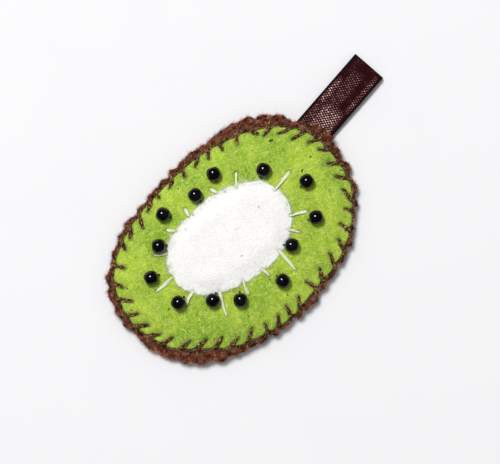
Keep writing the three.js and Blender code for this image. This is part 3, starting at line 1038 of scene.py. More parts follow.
@dataclass
class FeltSheet:
    """A felt oval: a closed grid from the underside's middle, round a soft rim, to the top's middle."""

    INNERMOST = 0.01  # share of the radius at which the ring next to a pole stands

    name: str
    outline: Outline
    thickness: float
    columns: int
    under_rows: int
    top_rows: int
    rim_rows: int = 9
    rim_press: float = 0.4

    @property
    def angles(self) -> Array:
        """Angle of each column."""
        return np.linspace(0, TURN, self.columns, endpoint=False)

    @property
    def radius(self) -> Array:
        """Radius of the cut edge at each column."""
        return self.outline.radius(self.angles)

    def grid(self, edge: Array, bottom: Height, top: Height, press: Height | None = None) -> Array:
        """Points of the sheet.

        Rings stand at even shares of the radius. The rim is a half circle of the sheet's thickness.

        Args:
            edge: Radius of the rim at each column.
            bottom: Height of the underside.
            top: Height of the top.
            press: Depth by which the rim's upper half is pressed down.

        Returns:
            Rows by columns by three.
        """
        half = self.thickness / 2
        inner = edge - half
        under = np.linspace(self.INNERMOST, 1, self.under_rows)[:, None] * inner
        over = np.linspace(1, self.INNERMOST, self.top_rows)[:, None] * inner
        bow = np.linspace(-math.pi / 2, math.pi / 2, self.rim_rows + 2)[1:-1, None]
        rim = self.outline.place(self.angles, inner)
        low, high = bottom(*rim), top(*rim)
        radius = np.concatenate([under, inner + half * np.cos(bow), over])
        x, y = self.outline.place(self.angles[None], radius)
        first, last = self.under_rows, self.under_rows + self.rim_rows
        rim_z = (low + high) / 2 + (high - low) / 2 * np.sin(bow)
        if press is not None:
            upper = np.clip(0.5 + 0.5 * np.sin(bow), 0, 1)
            rim_z = rim_z - press(x[first:last], y[first:last]) * upper * self.rim_press
        z = np.concatenate([bottom(x[:first], y[:first]), rim_z, top(x[last:], y[last:])])
        return np.stack([x, y, z], axis=-1)

    def normals(self, grid: Array) -> Array:
        """Way out of the sheet at each grid point: the cross product of its column and row steps."""
        along = np.roll(grid, -1, axis=1) - np.roll(grid, 1, axis=1)
        return unit(np.cross(along, np.gradient(grid, axis=0)))

    def roots(self, grid: Array, face: Face) -> tuple[Array, Array]:
        """Spots spread evenly over the top: a cell by its area, then a spot within it.

        Args:
            grid: Points of the sheet.
            face: Whether the rim is taken too.

        Returns:
            The spots, and the way out at each.
        """
        rng = np.random.default_rng(self.columns)
        first = self.under_rows + (0 if face is Face.RIM else self.rim_rows)
        both = np.concatenate([grid, self.normals(grid)], axis=-1)[first:]
        right = np.roll(both, -1, axis=1)
        corners = np.stack([both[:-1], right[:-1], both[1:], right[1:]], axis=2).reshape(-1, 4, 6)
        diagonals = (corners[:, 3] - corners[:, 0])[:, :3], (corners[:, 2] - corners[:, 1])[:, :3]
        area = np.linalg.norm(np.cross(*diagonals), axis=1)
        cell = corners[rng.choice(len(area), ROOT_SPOTS, p=area / area.sum())]
        u, v = rng.uniform(0, 1, (2, len(cell), 1))
        near, far = (cell[:, i] * (1 - u) + cell[:, i + 1] * u for i in (0, 2))
        spots = near * (1 - v) + far * v
        return spots[:, :3], unit(spots[:, 3:])

    def make(self, grid: Array, material: Material, shade_shares: Array | None = None) -> Object:
        """Makes the sheet's piece of its grid, with a share of painted shade at each grid point."""
        return make_piece(self.name, [Patch(grid, poles=True)], material, shade_shares=shade_shares)

    def declare(
        self, node: str,
    ) -> None:
        """Hides the solid that the felt stands for, and works out, without keeping them, the size and area
        of the flat oval that it was cut as.

        Args:
            node: Solid that it stands for.
        """
        stands_for(node)
        cut = self.outline
        flat = tuple(sorted(float(np.ptp(axis)) * MM for axis in cut.place(cut.angles, cut.radii)))
        cut.area() * MM * MM


@dataclass
class SliceForm:
    """Heights and edges that the felts and threads share, in millimetres."""

    felt: float = 1.2
    core_felt: float = 1.0
    gap: float = 0.3
    rim_gap: float = 0.1
    rim_rise: float = 1.8
    roll: Pair = (4.0, 10.0)  # how far in from the rim the underside starts down, and where it is flat
    dome: float = 2.2
    ribbon_base: Pair = (36.9, 10.0)
    ribbon_turn: float = math.radians(9.8)
    ribbon_lift: float = 1.1
    lift_inward: Pair = (6.0, 10.0)  # how far in from the rim the lift starts to fade, and where it ends
    lift_across: Pair = (4.5, 10.0)  # the same to either side of the ribbon's middle
    leg_overrun: float = 1.2
    leg_groove: Bell = Bell(0.42, 0.6)
    leg_pucker: Bell = Bell(0.3, 1.7)
    leg_hole: Bell = Bell(0.35, 0.55)
    pull_seed: int = 17
    pull_range: Pair = (0.55, 1.25)
    white_groove: Bell = Bell(0.3, 0.55)
    white_hole: Bell = Bell(0.3, 0.5)
    bead_seat: Bell = Bell(0.6, 1.7)
    front_lumps: Lumps = Lumps(0.1, 4.0, 13.0, seed=4)
    core_gap: float = 0.15
    core_lumps: Lumps = Lumps(0.06, 4.0, 11.0, seed=9)
    core_groove: Bell = Bell(0.35, 0.6)
    core_hole: Bell = Bell(0.25, 0.45)
    core_give: float = 0.6  # share of the groove that the white felt's top follows
    core_thinned: float = 0.88
    core_thin_from: float = 5.5
    core_least: float = 0.12
    front: Outline = field(default_factory=lambda: Outline(FRONT_EDGE, trim=0.5))
    back: Outline = field(default_factory=lambda: Outline(BACK_EDGE))
    core: Outline = field(default_factory=lambda: Outline(CORE_EDGE, CORE_MIDDLE, CORE_SLIP))
    beads: Array = field(init=False)
    stitch_angles: Array = field(init=False)

    def __post_init__(self) -> None:
        """Reads the beads' middles from the frame and the stitches' angles from the list."""
        boxes = [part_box(f"bead_{number:02d}") for number in range(1, BEAD_COUNT + 1)]
        self.beads = np.array([[(low + high) / 2 / MM for low, high in zip(*box)] for box in boxes])
        self.stitch_angles = np.arctan2(EDGE_RIMS[:, 1], EDGE_RIMS[:, 0]) % TURN

    def ribbon_place(self, x: Array, y: Array) -> tuple[Array, Array]:
        """Places along and across the ribbon.

        Args:
            x: Places along X.
            y: Places along Y.

        Returns:
            Distances along and across from the middle of the ribbon's root.
        """
        dx, dy = x - self.ribbon_base[0], y - self.ribbon_base[1]
        cos, sin = math.cos(self.ribbon_turn), math.sin(self.ribbon_turn)
        return dx * cos + dy * sin, dy * cos - dx * sin

    def lift(self, x: Array, y: Array) -> Array:
        """Rise of both felts over the ribbon's ends: full there, fading inwards and to either side.

        Args:
            x: Places along X.
            y: Places along Y.

        Returns:
            Heights.
        """
        inward = 1 - smooth(self.back.inset(x, y), *self.lift_inward)
        across = 1 - smooth(np.abs(self.ribbon_place(x, y)[1]), *self.lift_across)
        return np.where(x > 0, self.ribbon_lift, 0.0) * inward * across

    def back_bottom(self, x: Array, y: Array) -> Array:
        """Underside: flat in the middle, rising to the rim by a smooth step."""
        return self.rim_rise * (1 - smooth(self.back.inset(x, y), *self.roll)) + self.lift(x, y)

    def rim_top(self, x: Array, y: Array) -> Array:
        """Top of the back felt's rim."""
        return self.rim_rise + self.lift(x, y) + self.felt

    def front_bottom(self, x: Array, y: Array) -> Array:
        """Front felt's underside: the rim, and a dome that falls with the fourth power of the radius.

        Args:
            x: Places along X.
            y: Places along Y.

        Returns:
            Heights.
        """
        angle, away = self.front.polar(x, y)
        share = np.minimum(1.0, away / self.front.radius(angle))
        rise = self.dome + self.gap - self.rim_gap
        return self.rim_top(x, y) + self.rim_gap + rise * (1 - share**4)

    def leg_grooves(self, x: Array, y: Array) -> Array:
        """Depth that the edge stitches press into the front: grooves, wide puckers and a pit at each hole.

        Args:
            x: Places along X.
            y: Places along Y.

        Returns:
            Depths.
        """
        beyond = EDGE_RIMS + unit(EDGE_RIMS - EDGE_HOLES) * self.leg_overrun
        reach = to_segments(x, y, EDGE_HOLES, beyond)
        return self.leg_groove(reach) + self.leg_pucker(reach) + self.leg_hole(to_places(x, y, EDGE_HOLES))

    def front_top(self, x: Array, y: Array) -> Array:
        """Front felt's top: the dome, less all that stitches and beads press into it.

        Args:
            x: Places along X.
            y: Places along Y.

        Returns:
            Heights.
        """
        sewn = self.white_groove(to_segments(x, y, CORE_CROSSINGS, CORE_ENDS))
        sewn = sewn + self.white_hole(to_places(x, y, CORE_ENDS))
        seats = self.bead_seat(to_places(x, y, self.beads[:, :2]))
        plain = self.front_bottom(x, y) + self.felt
        return plain - self.leg_grooves(x, y) - sewn - seats + self.front_lumps(x, y)

    def core_holes(self) -> Array:
        """Where each white stitch comes up through the white felt."""
        return CORE_CROSSINGS - CORE_BITE * unit(CORE_ENDS - CORE_CROSSINGS)

    def core_press(self, x: Array, y: Array) -> Array:
        """Depth that the white stitches press into the white felt: a narrow groove under each."""
        return self.core_groove(to_segments(x, y, self.core_holes(), CORE_ENDS))

    def core_top(self, x: Array, y: Array) -> Array:
        """White felt's top: pressed by its stitches and thinned to its edge, but never through the green.

        Args:
            x: Places along X.
            y: Places along Y.

        Returns:
            Heights.
        """
        laid = self.front_bottom(x, y) + self.felt + self.core_gap + self.core_felt + self.core_lumps(x, y)
        holed = self.core_hole(to_places(x, y, self.core_holes()))
        pressed = self.core_give * self.core_press(x, y) + holed
        thinned = self.core_thinned * (1 - smooth(self.core.inset(x, y), 0.0, self.core_thin_from))
        return np.maximum(laid - pressed - thinned, self.front_top(x, y) + self.core_least)

    def sewn_edge(self, sheet: FeltSheet, trim: float, pucker: Bell, ragged: Lumps) -> Array:
        """Radius of a sewn rim: the cut edge, trimmed, drawn in at each edge stitch and left ragged.

        Each stitch draws the rim in by a bell curve of the distance along it, some more than others.

        Args:
            sheet: The felt.
            trim: How much smaller it is all round.
            pucker: How far a stitch draws it in.
            ragged: Unevenness of the cut.

        Returns:
            One radius for each column.
        """
        radius = sheet.radius
        apart = (sheet.angles[:, None] - self.stitch_angles + math.pi) % TURN - math.pi
        share = np.random.default_rng(self.pull_seed).uniform(*self.pull_range, len(self.stitch_angles))
        drawn = (share * pucker(apart * radius[:, None])).max(axis=-1)
        return radius - trim - drawn + ragged(*sheet.outline.place(sheet.angles, radius))


@dataclass
class BackFelt:
    """The brown back: its rim is ragged and fuzzy all round, with painted shadow beside the front felt."""

    form: SliceForm
    finish: FeltFinish = FeltFinish(
        "brown_felt", dark=(0.036, 0.0025, 0.0008), light=(0.17, 0.024, 0.01), fibre=(0.42, 0.12, 0.065),
        glint=(0.84, 0.43, 0.27), sheen=0.0)
    columns: int = 588
    under_rows: int = 24
    top_rows: int = 20
    trim: float = 0.1
    pucker: Bell = Bell(0.6, 0.9)
    ragged: Lumps = Lumps(0.28, 2.0, 7.0, seed=21)
    top_lumps: Lumps = Lumps(0.08, 2.5, 9.0, seed=22)
    top_lumpy: Pair = (9.0, 6.0)  # how far in from the rim the top's lumps start, and where they are full
    under_lumps: Lumps = Lumps(0.05, 2.5, 9.0, seed=22)
    under_lumpy: Pair = (6.0, 9.5)  # how far in the underside's lumps start to fade, and where they end
    # Painted shadow: how dark and how wide the band beside the front felt's edge is painted.
    shadow: Bell = Bell(0.75, 0.75)
    # How far out from the front felt the fuzz starts, leaving the painted shadow bare.
    fuzz_from: float = 0.25
    fuzz: Fibres = Fibres(
        count=15500, shortest=0.4, longest=1.5, radius=0.038, lie=0.55, seed=31, darkness=4.0, clump=0.55)
    flecks: Fibres = Fibres(
        count=4200, shortest=0.35, longest=0.9, radius=0.07, lie=0.75, seed=31, darkness=1.5, clump=0.5)

    def top(self, x: Array, y: Array) -> Array:
        """Height of the top, lumpy near the rim."""
        lumps = self.top_lumps(x, y) * smooth(self.form.back.inset(x, y), *self.top_lumpy)
        return self.form.back_bottom(x, y) + self.form.felt + lumps

    def bottom(self, x: Array, y: Array) -> Array:
        """Height of the underside, lumpy near the rim."""
        lumps = self.under_lumps(y, x) * (1 - smooth(self.form.back.inset(x, y), *self.under_lumpy))
        return self.form.back_bottom(x, y) + lumps

    def build(self, group: NodeTree) -> None:
        """Makes the felt, then fuzz and flecks where it shows.

        Args:
            group: The matted fibre group.
        """
        form = self.form
        sheet = FeltSheet(
            "brown_back", form.back, form.felt, self.columns, self.under_rows, self.top_rows)
        grid = sheet.grid(form.sewn_edge(sheet, self.trim, self.pucker, self.ragged), self.bottom, self.top)
        # Painted shadow beside the front felt, kept as each vertex's share of painted shade.
        beyond = np.maximum(0, -form.front.inset(*xy(grid)))
        piece = sheet.make(grid, self.finish.material(group), self.shadow(beyond))
        spots, ways = sheet.roots(grid, Face.RIM)
        shown = -form.front.inset(*xy(spots)) > self.fuzz_from
        fuzzy = self.finish.fuzz()
        fuzz = self.fuzz.make("brown_back_fuzz", spots[shown], ways[shown], fuzzy)
        flecks = self.flecks.make("brown_back_flecks", spots[shown], ways[shown], fuzzy)
        sheet.declare("back_felt")


@dataclass
class FrontFelt:
    """The green front: domed, puffed between the edge stitches and pressed down under them."""

    form: SliceForm
    finish: FeltFinish = FeltFinish(
        "green_felt", dark=(0.15, 0.35, 0.012), light=(0.465, 0.655, 0.046), fibre=(0.75, 0.82, 0.185),
        glint=(0.88, 0.915, 0.36), sheen=0.03, speck_share=0.4, lint=0.9)
    columns: int = 588
    under_rows: int = 10
    top_rows: int = 74
    trim: float = 0.15
    pucker: Bell = Bell(0.5, 0.9)
    ragged: Lumps = Lumps(0.08, 2.0, 6.0, seed=25)
    # Painted shade in the needle holes: how far inward the edge holes' dark spots sit, and how dark and
    # wide each spot is.
    hole_inward: float = 0.25
    edge_hole_shade: Bell = Bell(1.4, 0.45)
    core_hole: Bell = Bell(0.7, 0.4)
    rim_slope: float = 0.9
    under_core: float = 0.2
    stitch_clear: float = 0.7
    fuzz: Fibres = Fibres(count=5000, shortest=0.4, longest=1.2, radius=0.03, lie=0.6, seed=32)
    nap: Fibres = Fibres(
        count=13000, shortest=0.4, longest=1.3, radius=0.026, lie=0.94, seed=33, darkness=1.3, clump=0.15)

    def build(self, group: NodeTree) -> None:
        """Makes the felt with painted shade in its needle holes, fuzz on its rim, and nap clear of the
        white sewing.

        Args:
            group: The matted fibre group.
        """
        form = self.form
        sheet = FeltSheet(
            "green_front", form.front, form.felt, self.columns, self.under_rows, self.top_rows)
        edge = form.sewn_edge(sheet, self.trim, self.pucker, self.ragged)
        grid = sheet.grid(edge, form.front_bottom, form.front_top, form.leg_grooves)
        # Painted shade: dark spots at the edge stitches' holes and at the white stitches' outer ends.
        inward = EDGE_HOLES + self.hole_inward * unit(EDGE_HOLES - EDGE_RIMS)
        shade_shares = self.edge_hole_shade(to_places(*xy(grid), inward))
        shade_shares = np.minimum(1.0, shade_shares + self.core_hole(to_places(*xy(grid), CORE_ENDS)))
        piece = sheet.make(grid, self.finish.material(group), shade_shares)
        fuzzy = self.finish.fuzz()
        spots, ways = sheet.roots(grid, Face.RIM)
        rim = ways[:, 2] < self.rim_slope
        fuzz = self.fuzz.make("green_front_edge_fuzz", spots[rim], ways[rim], fuzzy)
        spots, ways = sheet.roots(grid, Face.TOP)
        sewn = to_segments(*xy(spots), CORE_CROSSINGS, CORE_ENDS) < self.stitch_clear
        bare = (form.core.inset(*xy(spots)) < self.under_core) & ~sewn
        nap = self.nap.make("green_front_nap", spots[bare], ways[bare], fuzzy)
        sheet.declare("front_felt")


@dataclass
class CoreFelt:
    """The white core: its edge dips where a stitch crosses it and gives way round beads that touch it."""

    form: SliceForm
    # The loose fibres' greenish darkest tone is painted green light, showing through the white fibres from
    # the green felt below.
    finish: FeltFinish = FeltFinish(
        "white_felt", dark=(0.92, 0.895, 0.87), light=(0.99, 0.975, 0.955), fibre=(1.0, 0.99, 0.98),
        glint=(1.0, 1.0, 1.0), loose=(0.78, 0.95, 0.42), relief=0.00014, sheen=0.06, speck_share=0.15,
        lint=0.4)
    edge_thickness: float = 0.24
    columns: int = 420
    under_rows: int = 5
    top_rows: int = 38
    trim: float = 0.1
    dip: Bell = Bell(0.3, 1.1)
    ragged: Lumps = Lumps(0.15, 1.6, 6.0, seed=41)
    clearance: float = 0.02
    bead_clear: float = 1.95
    # Painted shade in the white stitches' needle holes: how dark and how wide each spot is.
    hole: Bell = Bell(0.7, 0.3)
    fuzz_within: float = 0.75
    fuzz: Fibres = Fibres(
        count=7000, shortest=0.5, longest=1.9, radius=0.026, lie=0.96, seed=42, darkness=0.45)
    nap: Fibres = Fibres(
        count=1800, shortest=0.4, longest=1.1, radius=0.016, lie=0.9, seed=43, darkness=0.05)

    def bottom(self, x: Array, y: Array) -> Array:
        """Height of the underside, just clear of the front felt's dome."""
        return self.form.front_bottom(x, y) + self.form.felt + self.clearance

    def build(self, group: NodeTree) -> None:
        """Makes the felt with painted shade in its needle holes, fuzz along its edge, and a thin nap.

        Args:
            group: The matted fibre group.
        """
        form = self.form
        sheet = FeltSheet(
            "white_core", form.core, self.edge_thickness, self.columns, self.under_rows, self.top_rows)
        rim = form.core.place(sheet.angles, sheet.radius)
        edge = sheet.radius - self.trim - self.dip(to_places(*rim, CORE_CROSSINGS)) + self.ragged(*rim)
        grid = sheet.grid(edge, self.bottom, form.core_top, form.core_press)
        for bead in form.beads[:, :2]:
            away = grid[..., :2] - bead
            distance = np.linalg.norm(away, axis=-1, keepdims=True)
            grid[..., :2] += unit(away) * np.maximum(0, self.bead_clear - distance)
        # Painted shade: a dark spot where each white stitch comes up.
        shade_shares = self.hole(to_places(*xy(grid), form.core_holes()))
        piece = sheet.make(grid, self.finish.material(group), shade_shares)
        fuzzy = self.finish.fuzz()
        spots, ways = sheet.roots(grid, Face.TOP)
        edged = form.core.inset(*xy(spots)) < self.fuzz_within
        fuzz = self.fuzz.make("white_core_edge_fuzz", spots[edged], ways[edged], fuzzy)
        nap = self.nap.make("white_core_nap", spots, ways, fuzzy)
        sheet.declare("core_felt")


@dataclass
class Wadding:
    """The soft pad between the felts: a lens of fibre whose top follows the front felt, lumpy all over."""

    form: SliceForm
    finish: FeltFinish = FeltFinish(
        "wadding", dark=(0.78, 0.77, 0.74), light=(0.92, 0.91, 0.89), fibre=(0.97, 0.97, 0.96),
        glint=(1.0, 1.0, 1.0), relief=0.0003)
    edge_thickness: float = 1.0
    columns: int = 160
    under_rows: int = 10
    top_rows: int = 22
    inset: float = 11.2
    below_front: float = 2.1
    above_back: float = 0.12
    top_lumps: Lumps = Lumps(0.08, 2.5, 8.0, seed=51)
    under_lumps: Lumps = Lumps(0.06, 2.5, 8.0, seed=51)
    fill: float = 0.7

    def top(self, x: Array, y: Array) -> Array:
        """Height of the top, under the front felt."""
        return self.form.front_bottom(x, y) - self.below_front + self.top_lumps(x, y)

    def bottom(self, x: Array, y: Array) -> Array:
        """Height of the underside, over the back felt."""
        return self.form.felt + self.form.gap + self.above_back + self.under_lumps(y, x)

    def build(self, group: NodeTree) -> None:
        """Makes the pad.

        Args:
            group: The matted fibre group.
        """
        cut = self.form.front
        sheet = FeltSheet(
            "wadding_pad", cut, self.edge_thickness, self.columns, self.under_rows, self.top_rows)
        grid = sheet.grid(sheet.radius - self.inset, self.bottom, self.top)
        piece = sheet.make(grid, self.finish.material(group))
        stands_for("wadding")


# Threads, beads and ribbon


@dataclass
class EdgeThread:
    """The brown blanket stitch that joins the felts."""

    form: SliceForm
    yarn: Yarn = Yarn(
        plies=3, ply_radius=0.28, offset=0.35, turns=0.13, lay=0.3, point=0.1, taper=0.6, closing=1.7)
    # Its tan streaks are painted glints on the dark thread.
    finish: ThreadFinish = ThreadFinish(
        "brown_thread", dark=(0.022, 0.0075, 0.0014), light=(1.0, 0.65, 0.28), glint=0.3, roughness=0.6,
        streak=(1.7, 3.4), contrast=0.5, glint_from=0.51)
    fuzz: Fibres = Fibres(
        count=7000, shortest=0.3, longest=1.2, radius=0.044, lie=0.65, seed=61, darkness=1.6, clump=0.2)
    loose: Yarn = Yarn(plies=1, ply_radius=0.06, offset=0.0, turns=0.0, sides=5)
    curls: tuple[tuple[float, float, float], ...] = (
        (-32.1, -12.8, 0.8), (-26.85, -18.0, 0.5), (-34.9, -5.0, 0.45))
    curl_steps: int = 14
    curl_overlap: float = 0.6
    curl_rise: float = 0.9
    curl_sunk: float = 0.2
    half_leg: float = 0.7  # half the distance along the rim between a stitch's two strands
    sunk: float = 0.3
    ribbon_bottom: float = 1.2
    ribbon_across: float = 5.7
    ribbon_from: float = -7.5
    wide_rim: float = 1.7
    table: float = 0.03
    shown_from: float = -0.2
    facing: float = -0.2

    def route(self) -> Array:
        """Points of the thread: over the front rim, down a hole, out below, up through the back rim and on.

        Returns:
            Points in millimetres, ten or eleven for each stitch.
        """
        form, front, back, sunk = self.form, self.form.front, self.form.back, self.sunk
        angle = form.stitch_angles
        leg = self.half_leg / front.radius(angle)
        after, before = angle + leg, angle - leg
        halfway = angle + ((np.roll(angle, -1) - angle) % TURN) / 2
        along, across = form.ribbon_place(*xy(EDGE_HOLES))
        held = (np.abs(across) < self.ribbon_across) & (along > self.ribbon_from)
        under = np.where(held, self.ribbon_bottom, form.back_bottom(*xy(EDGE_HOLES)))
        outside = back.beside(after, -0.9)
        rim_low = np.where(held, self.ribbon_bottom, form.rim_rise + form.lift(*xy(outside)))
        margin = back.radius(after) - front.radius(after)
        on_rim = back.beside(after, np.maximum(-1.5, 0.3 - margin))
        points = np.stack([
            raised(front.beside(before, 0.25), form.rim_top, 0.05),  # beside the front's rim
            raised(front.beside(angle, -0.55), form.front_top, sunk),  # over it
            raised(EDGE_HOLES, form.front_top, 0.7 * sunk),  # at the hole
            raised(EDGE_HOLES, form.front_top, -0.6),  # down through both felts
            stand(EDGE_HOLES, under + 0.4),
            stand(EDGE_HOLES, under - sunk),  # out below
            stand(outside, rim_low - sunk),  # under the back's rim
            raised(outside, form.rim_top, -0.75),  # up through it
            raised(on_rim, form.rim_top, -0.4),  # out on top
            raised(front.beside(after, 0.15), form.rim_top, -0.35),  # against the front, on a wide rim
            raised(front.beside(halfway, 0.05), form.rim_top, -0.4),  # halfway to the next stitch
        ], axis=1)
        keep = np.ones(points.shape[:2], bool)
        keep[:, -2] = margin > self.wide_rim
        return points[keep]

    def curl(self, x: float, y: float, radius: float) -> list[Patch]:
        """A strand that has come loose: one loop that stands up a little, with both ends in the felt.

        Args:
            x: Middle of the loop along X.
            y: Middle of the loop along Y.
            radius: Radius of the loop.

        Returns:
            A thin tube.
        """
        turn = np.linspace(-self.curl_overlap, TURN + self.curl_overlap, self.curl_steps)
        rise = self.curl_rise * radius * np.sin(np.linspace(0, math.pi, self.curl_steps))
        height = self.form.rim_top(np.array(x), np.array(y)) + rise - self.curl_sunk
        loop = np.stack([x + radius * np.cos(turn), y + radius * np.sin(turn)], axis=1)
        return self.loose.patches(stand(loop, height))

    def build(self) -> None:
        """Plies the thread along its route, adds the loose curls, and roughens what shows of it."""
        plies = self.yarn.patches(self.route())
        plies += [patch for place in self.curls for patch in self.curl(*place)]
        for ply in plies:
            ply.points[..., 2] = np.maximum(ply.points[..., 2], self.table)
        piece = make_piece("edge_stitching", plies, self.finish.material(), textured=True)
        fuzz = fray(
            "edge_stitching_fuzz", plies, self.fuzz, self.finish.fuzz(),
            self.form.rim_top, self.shown_from, self.facing)
        stands_for("edge_thread")


@dataclass
class CoreThread:
    """The white thread whose stitches hold the core down."""

    form: SliceForm
    yarn: Yarn = Yarn(
        plies=2, ply_radius=0.25, offset=0.2, turns=0.07, lay=0.4, point=0.05, taper=0.5, closing=2.0,
        flat=0.34, sides=8)
    finish: ThreadFinish = ThreadFinish(
        "white_thread", dark=(0.95, 1.0, 0.66), light=(0.98, 1.0, 0.86), glint=0.2, roughness=0.7,
        sheen=1.0)
    fuzz: Fibres = Fibres(
        count=1400, shortest=0.3, longest=0.9, radius=0.02, lie=0.8, seed=63, darkness=0.5)
    brow_out: float = 0.35
    back_in: float = 0.5
    inward: float = 2.5
    bow_seed: int = 71
    bow: float = 0.07
    under: float = -0.6
    shown_from: float = 0.1
    facing: float = -0.1

    def route(self) -> Array:
        """Points of the thread: up through the core, over its edge, down outside and under to the next.

        Returns:
            Points in millimetres.
        """
        form, under = self.form, self.under
        along = unit(CORE_ENDS - CORE_CROSSINGS)
        aside = np.stack([-along[:, 1], along[:, 0]], axis=1)
        inner = form.core_holes()
        brow = CORE_CROSSINGS + along * self.brow_out
        back = inner + aside - along * self.back_in
        inside = (back + np.roll(inner, -1, axis=0)) / 2
        inside += unit(np.array(CORE_MIDDLE) - inside) * self.inward
        length = np.linalg.norm(CORE_ENDS - brow, axis=1, keepdims=True)
        bowed = np.random.default_rng(self.bow_seed).normal(0, self.bow, length.shape) * length
        half = (brow + CORE_ENDS) / 2 + aside * bowed
        points = np.stack([
            raised(inner, form.front_bottom, under),  # up through the front and the core
            raised(inner, form.front_bottom, 0.0),
            raised(inner, form.core_top, -0.35),
            raised(inner, form.core_top, 0.05),
            raised(brow, form.core_top, 0.25),  # over the core's edge
            raised(half, form.front_top, 0.42),  # along the front
            raised(CORE_ENDS, form.front_top, 0.4),  # down at the outer end
            raised(CORE_ENDS, form.front_top, -0.3),
            raised(CORE_ENDS, form.front_bottom, 0.0),
            raised(CORE_ENDS, form.front_bottom, under),
            raised(back, form.front_bottom, under),  # back under the core
            raised(inside, form.front_bottom, under),  # on to the next stitch
        ], axis=1)
        return points.reshape(-1, 3)[:-1]

    def build(self) -> None:
        """Plies the thread along its route, and frays what shows of it."""
        plies = self.yarn.patches(self.route())
        piece = make_piece("core_stitching", plies, self.finish.material(), textured=True)
        fuzz = fray(
            "core_stitching_fuzz", plies, self.fuzz, self.finish.fuzz(),
            self.form.front_top, self.shown_from, self.facing)
        stands_for("core_thread")


@dataclass
class Beads:
    """Thirteen glass seeds, each turned about a hole that points to the middle, and their thread."""

    form: SliceForm
    radius: float = 1.95
    hole: float = 0.42
    lip: float = 0.66
    half_length: float = 1.85
    loop_steps: int = 31
    sides: int = 40
    sunk: float = 0.75
    outer_leg: float = 1.7
    inner_leg: float = 2.3
    hole_end: float = 1.4
    bend: Pair = (0.12, 0.4)  # how far in from a leg, and below the hole, the thread turns
    under_front: float = 1.45
    over_back: float = 0.5
    yarn: Yarn = Yarn(plies=2, ply_radius=0.15, offset=0.13, turns=0.45, sides=5)
    glass: GlassFinish = GlassFinish("black_glass", (0.0025, 0.0025, 0.003))
    thread: ThreadFinish = ThreadFinish(
        "black_thread", dark=(0.006, 0.005, 0.006), light=(0.045, 0.04, 0.042), glint=0.4, roughness=0.55)

    def build(self) -> None:
        """Makes each bead, then the thread through them all."""
        material = self.glass.material()
        for number, middle in enumerate(self.form.beads, 1):
            piece = make_piece(f"seed_{number:02d}", [self.ring(middle)], material)
            stands_for(f"bead_{number:02d}")
        plies = self.yarn.patches(self.route())
        piece = make_piece("bead_string", plies, self.thread.material(), textured=True)
        stands_for("bead_thread")

    def ring(self, middle: Array) -> Patch:
        """A rounded ring: a loop, wide outside the lip and narrow inside it, carried round the axis.

        Args:
            middle: The bead's middle.

        Returns:
            A patch that closes both ways.
        """
        loop = np.linspace(0, TURN, self.loop_steps)[:-1, None, None]
        swing = np.cos(loop)
        radius = self.lip + swing * np.where(swing > 0, self.radius - self.lip, self.lip - self.hole)
        along = self.half_length * np.sin(loop)
        out = unit(np.array([middle[0], middle[1], 0.0]))
        side = np.array([-out[1], out[0], 0.0])
        ring = rings(side[None], np.cross(out, side)[None], np.arange(self.sides) * TURN / self.sides)
        return RingPatch(middle - UP * self.sunk + out * along + ring * radius)

    def deep(self, x: Array, y: Array) -> Array:
        """Height of the thread's runs: under the front felt, and clear of the back felt."""
        clear = self.form.back_bottom(x, y) + self.form.felt + self.over_back
        return np.maximum(self.form.front_bottom(x, y) - self.under_front, clear)

    def route(self) -> Array:
        """Points of the thread: through the beads inwards and outwards by turns, under the felt between.

        Returns:
            Points in millimetres.
        """
        top, deep = self.form.front_top, self.deep
        middle, axis = self.form.beads[:, :2], self.form.beads[:, 2] - self.sunk
        outwards = (np.arange(len(middle)) % 2 == 0)[:, None]
        way = unit(middle) * np.where(outwards, 1.0, -1.0)
        near = np.where(outwards, self.outer_leg, self.inner_leg)
        far = np.where(outwards, self.inner_leg, self.outer_leg)
        first, last = middle + way * near, middle - way * far
        half = (last + np.roll(first, -1, axis=0)) / 2
        inward, below = self.bend
        points = np.stack([
            raised(first, deep, 0.0),  # up through the front
            raised(first, top, -0.4),
            raised(first, top, 0.25),
            stand(middle + way * (near - inward), axis - below),  # up to the bead
            stand(middle + way * self.hole_end, axis),  # through its hole
            stand(middle - way * self.hole_end, axis),
            stand(middle - way * (far - inward), axis - below),  # down beside it
            raised(last, top, 0.25),
            raised(last, top, -0.4),
            raised(last, deep, 0.0),
            raised(half, deep, 0.0),  # on to the next bead
        ], axis=1)
        return points.reshape(-1, 3)[:-1]


